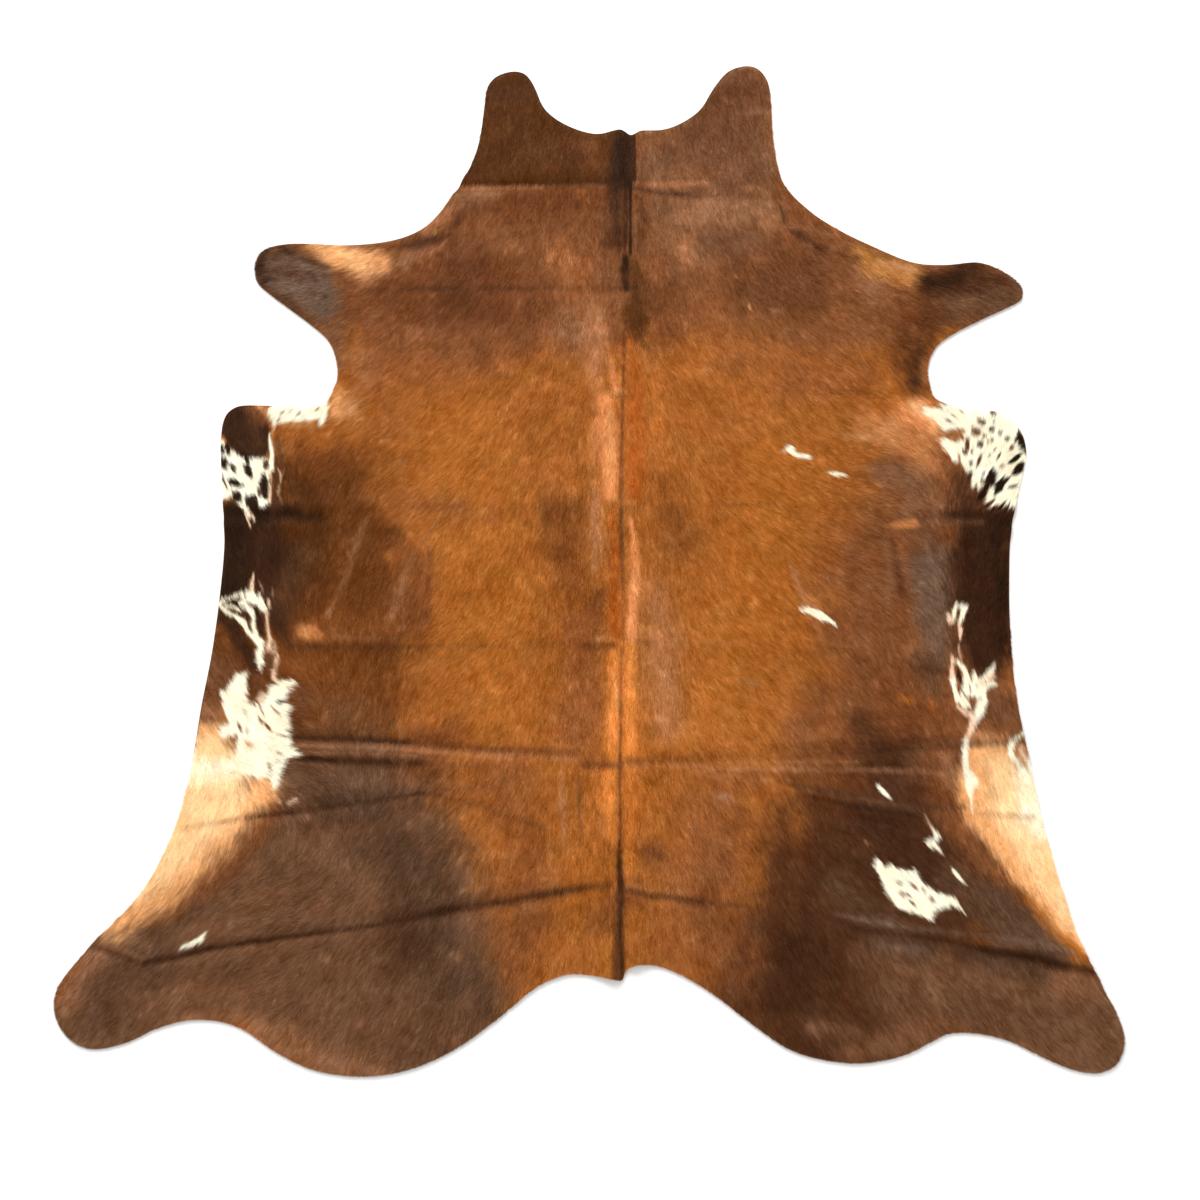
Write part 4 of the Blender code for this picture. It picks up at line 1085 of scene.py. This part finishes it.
def hair_material(name, roughness):
    """Hair: the colour held in the mesh, with fine strands of light and dark in it."""
    material, shader = new_material(name)
    shader.inputs["Specular IOR Level"].default_value = HAIR_GLOSS
    shader.inputs["Specular Tint"].default_value = HAIR_TINT
    held = add_node(material, "Attribute")
    held.attribute_name = "coat"
    place = add_node(material, "TexCoord")
    strands = add_node(material, "TexNoise", Scale=STRANDS_A_METRE, Detail=3.0)
    tone = add_node(material, "MapRange", From_Min=0.3, From_Max=0.7, To_Min=0.90, To_Max=1.08)
    mixed = add_node(material, "VectorMath")
    mixed.operation = "SCALE"
    rough = add_node(material, "MapRange", To_Min=roughness - ROUGHNESS_SPREAD,
                     To_Max=roughness + ROUGHNESS_SPREAD)
    wire(material,
         (place, "Object", strands, "Vector"), (strands, "Fac", tone, "Value"),
         (strands, "Fac", rough, "Value"), (held, "Color", mixed, 0),
         (tone, "Result", mixed, "Scale"), (mixed, "Vector", shader, "Base Color"),
         (rough, "Result", shader, "Roughness"))
    return material


def hold_colour(mesh, colour):
    """Keep a colour for each corner in the mesh, where hair_material reads it."""
    held = mesh.color_attributes.new("coat", "BYTE_COLOR", "POINT")
    four = np.ones((len(colour), 4), dtype=np.float32)
    four[:, :3] = colour
    held.data.foreach_set("color_srgb", four.ravel())


def put_in(name, data):
    """A new object of this mesh, light or camera, in the scene."""
    thing = bpy.data.objects.new(name, data)
    bpy.context.collection.objects.link(thing)
    return thing


ROOT_PAINTED_SHADE = 0.55              # painted shade under the hair: the leather's hair side takes the coat's colour, darkened to this share in the darkest hair and less in pale hair
SHARP_EDGE = np.radians(40)

top_plan, top_faces = sheet_plan(HAIR_SIDE_STEP)
under_plan, under_faces = sheet_plan(FLESH_SIDE_STEP)
top_z = leather_top(top_plan[:, 0], top_plan[:, 1])
under_z = read_field(lift_grid, under_plan[:, 0], under_plan[:, 1])
corner = np.arange(len(rim))
after = np.roll(corner, -1)
below = len(top_plan)
wall = np.vstack([np.column_stack([corner, corner + below, after]),
                  np.column_stack([after, corner + below, after + below])])
leather_mesh = bpy.data.meshes.new("leather")
leather_mesh.from_pydata(
    np.vstack([np.column_stack([top_plan, top_z]), np.column_stack([under_plan, under_z])]),
    [], np.vstack([top_faces, under_faces[:, ::-1] + below, wall]))
leather = put_in("leather", leather_mesh)
leather_mesh.materials.append(hair_material("hair roots", roughness=0.75))
leather_mesh.materials.append(skin_material(
    "suede", light=(0.50, 0.42, 0.33), dark=(0.36, 0.29, 0.22),
    roughness=0.95, grain=900.0, bump=0.0006))
leather_mesh.materials.append(skin_material(
    "cut leather", light=(0.42, 0.28, 0.17), dark=(0.22, 0.13, 0.07),
    roughness=0.85, grain=1500.0, bump=0.0003))
leather_mesh.polygons.foreach_set(
    "material_index", np.repeat([0, 1, 2], [len(top_faces), len(under_faces), len(wall)]))
leather_mesh.shade_smooth()
leather_mesh.set_sharp_from_angle(angle=SHARP_EDGE)
leather_plan = np.vstack([top_plan, under_plan])
# painted shade: the hair side of the leather coloured darker than the coat above it, for the shade between
# the blades
root_colour_with_painted_shade = coat_colour_with_painted_light(leather_plan[:, 0], leather_plan[:, 1])
root_colour_with_painted_shade *= ROOT_PAINTED_SHADE + (1 - ROOT_PAINTED_SHADE) * root_colour_with_painted_shade.mean(axis=1, keepdims=True)
hold_colour(leather_mesh, root_colour_with_painted_shade)
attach(leather, "root")
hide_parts("hide")


# The coat: short, straight, glossy hair, 9 to 15 mm long, lying almost flat on the leather in
# the way it grew, like thatch. Each blade stands for a lock of some twenty hairs. It grows out
# of the leather, and reaches no more than 2.5 mm past the cut edge.
BLADES = 850000
BLADE_LENGTH = 0.0125
LENGTH_SPREAD = 0.75, 1.2
SHORTEST = 0.15                # of its length, for a blade cut short at the edge
BLADE_WIDTH = 0.0017
WIDTH_SPREAD = 0.7, 1.2
TIP_LIFT = 0.0010, 0.0026      # the tips' height above the leather
ROOT_LIFT = 0.0004
ROOT_CLEAR = 0.0008            # least distance of a root from the cut edge
PAST_THE_EDGE = 0.0025
ROLL = np.radians(22)
STRAY = np.radians(9)
TURN = ((0.22, 0.030, 1), (0.14, 0.009, 2))     # how neighbours turn together, in radians
COLOUR_AT = 0.25, 0.95         # the parts of its length where a blade takes its two colours
BLADE_TONE = 0.11              # how far one blade is paler or darker than the next,
CALM_AT = 1.2                  # less in pale hair, and none where its paleness is this
COAT_PARTS = ("coat_neck", "coat_shoulders", "coat_girth", "coat_loin", "coat_rump")
chance = np.random.default_rng(12)


def grow():
    """Where each blade starts, as one point at random in each cell of an even grid."""
    cell = np.sqrt(hide_area / BLADES)
    columns = int(np.ptp(rim[:, 0]) / cell) + 1
    rows = int(np.ptp(rim[:, 1]) / cell) + 1
    x, y = np.meshgrid(np.arange(columns), np.arange(rows))
    x = rim[:, 0].min() + cell * (x.ravel() + chance.random(columns * rows))
    y = rim[:, 1].min() + cell * (y.ravel() + chance.random(columns * rows))
    inside = read_field(depth_grid, x, y) > ROOT_CLEAR
    return x[inside], y[inside]


root_x, root_y = grow()
count = len(root_x)
way_x, way_y = lay_of(root_x, root_y)
turn = STRAY * chance.standard_normal(count) + mottle(root_x, root_y, TURN)
way_x, way_y = (way_x * np.cos(turn) - way_y * np.sin(turn),
                way_x * np.sin(turn) + way_y * np.cos(turn))
long = BLADE_LENGTH * chance.uniform(*LENGTH_SPREAD, count)
root_depth = read_field(depth_grid, root_x, root_y)
tip_depth = read_field(depth_grid, root_x + long * way_x, root_y + long * way_y)
over = tip_depth < -PAST_THE_EDGE
long[over] *= np.clip((root_depth + PAST_THE_EDGE)[over] / (root_depth - tip_depth)[over],
                      SHORTEST, 1)
tip_x, tip_y = root_x + long * way_x, root_y + long * way_y
low_colour, high_colour = (coat_colour_with_painted_light(root_x + part * long * way_x,
                                       root_y + part * long * way_y) for part in COLOUR_AT)
pale = (low_colour.mean(axis=1) + high_colour.mean(axis=1))[:, None] / 2
tone = BLADE_TONE * (CALM_AT - pale) * chance.standard_normal(count)[:, None]
low_colour, high_colour = (np.clip(end + tone * (GREY * pale + (1 - GREY) * end), 0, 1)
                           for end in (low_colour, high_colour))
colour = np.stack([low_colour, high_colour, low_colour], axis=1)
wide = BLADE_WIDTH * chance.uniform(*WIDTH_SPREAD, count) / 2
roll = ROLL * chance.uniform(-1, 1, count)
root_z = leather_top(root_x, root_y) + ROOT_LIFT
tip_z = leather_top(tip_x, tip_y) + chance.uniform(*TIP_LIFT, count)
root = np.column_stack([root_x, root_y, root_z])
tip = np.column_stack([tip_x, tip_y, tip_z])
side = np.column_stack([-way_y * wide * np.cos(roll), way_x * wide * np.cos(roll),
                        wide * np.sin(roll)])
blades = np.stack([root + side, tip, root - side], axis=1)

coat_hair = hair_material("coat hair", roughness=0.55)
head_to_tail = np.argsort(-root_y, kind="stable")
for part, rows in zip(COAT_PARTS, np.array_split(head_to_tail, len(COAT_PARTS))):
    mesh = bpy.data.meshes.new(part)
    mesh.vertices.add(3 * len(rows))
    mesh.vertices.foreach_set("co", blades[rows].astype(np.float32).ravel())
    mesh.loops.add(3 * len(rows))
    mesh.loops.foreach_set("vertex_index", np.arange(3 * len(rows), dtype=np.int32))
    mesh.polygons.add(len(rows))
    mesh.polygons.foreach_set("loop_start", np.arange(0, 3 * len(rows), 3, dtype=np.int32))
    mesh.update(calc_edges=True)
    hold_colour(mesh, colour[rows].reshape(-1, 3))
    flat_map = mesh.uv_layers.new(name="OFBake")
    place = (blades[rows][:, :, :2].reshape(-1, 2) - field_low) / (field_size * FIELD_CELL)
    flat_map.data.foreach_set("uv", place.astype(np.float32).ravel())
    mesh.materials.append(coat_hair)
    piece = put_in(part, mesh)
    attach(piece, "root")


# The setting: a plain pale floor, a bright even room, and one large soft light from the head
# end, a little to the left, so that the creases show.
FLOOR_HALF = 9
floor_mesh = bpy.data.meshes.new("floor")
floor_mesh.from_pydata([(x * FLOOR_HALF, y * FLOOR_HALF, 0)
                        for x, y in ((-1, -1), (1, -1), (1, 1), (-1, 1))], [], [(0, 1, 2, 3)])
floor = put_in("floor", floor_mesh)
floor_paint, floor_shader = new_material("pale floor")
floor_shader.inputs["Base Color"].default_value = (0.86, 0.855, 0.845, 1)
floor_shader.inputs["Roughness"].default_value = 0.9
floor_mesh.materials.append(floor_paint)

world = bpy.data.worlds.new("room")
bpy.context.scene.world = world
world.use_nodes = True
room_light = world.node_tree.nodes["Background"]
room_light.inputs["Color"].default_value = (1.0, 0.99, 0.98, 1)
room_light.inputs["Strength"].default_value = 0.89

key_light = bpy.data.lights.new("window", "AREA")
key_light.shape = "DISK"
key_light.size = 6.0
key_light.energy = 1080.0
window = put_in("window", key_light)
window.location = (-3.6, 7.8, 6.0)
window.rotation_euler = (np.radians(-55), 0, np.radians(25))

lens = bpy.data.cameras.new("camera")
lens.lens = 39.0
lens.sensor_width = 36.0
camera = put_in("camera", lens)
camera.location = (0.0236, -0.8913, 2.50)
camera.rotation_euler = (np.radians(15.9), 0, 0)
bpy.context.scene.camera = camera
bpy.context.scene.view_settings.view_transform = "Standard"
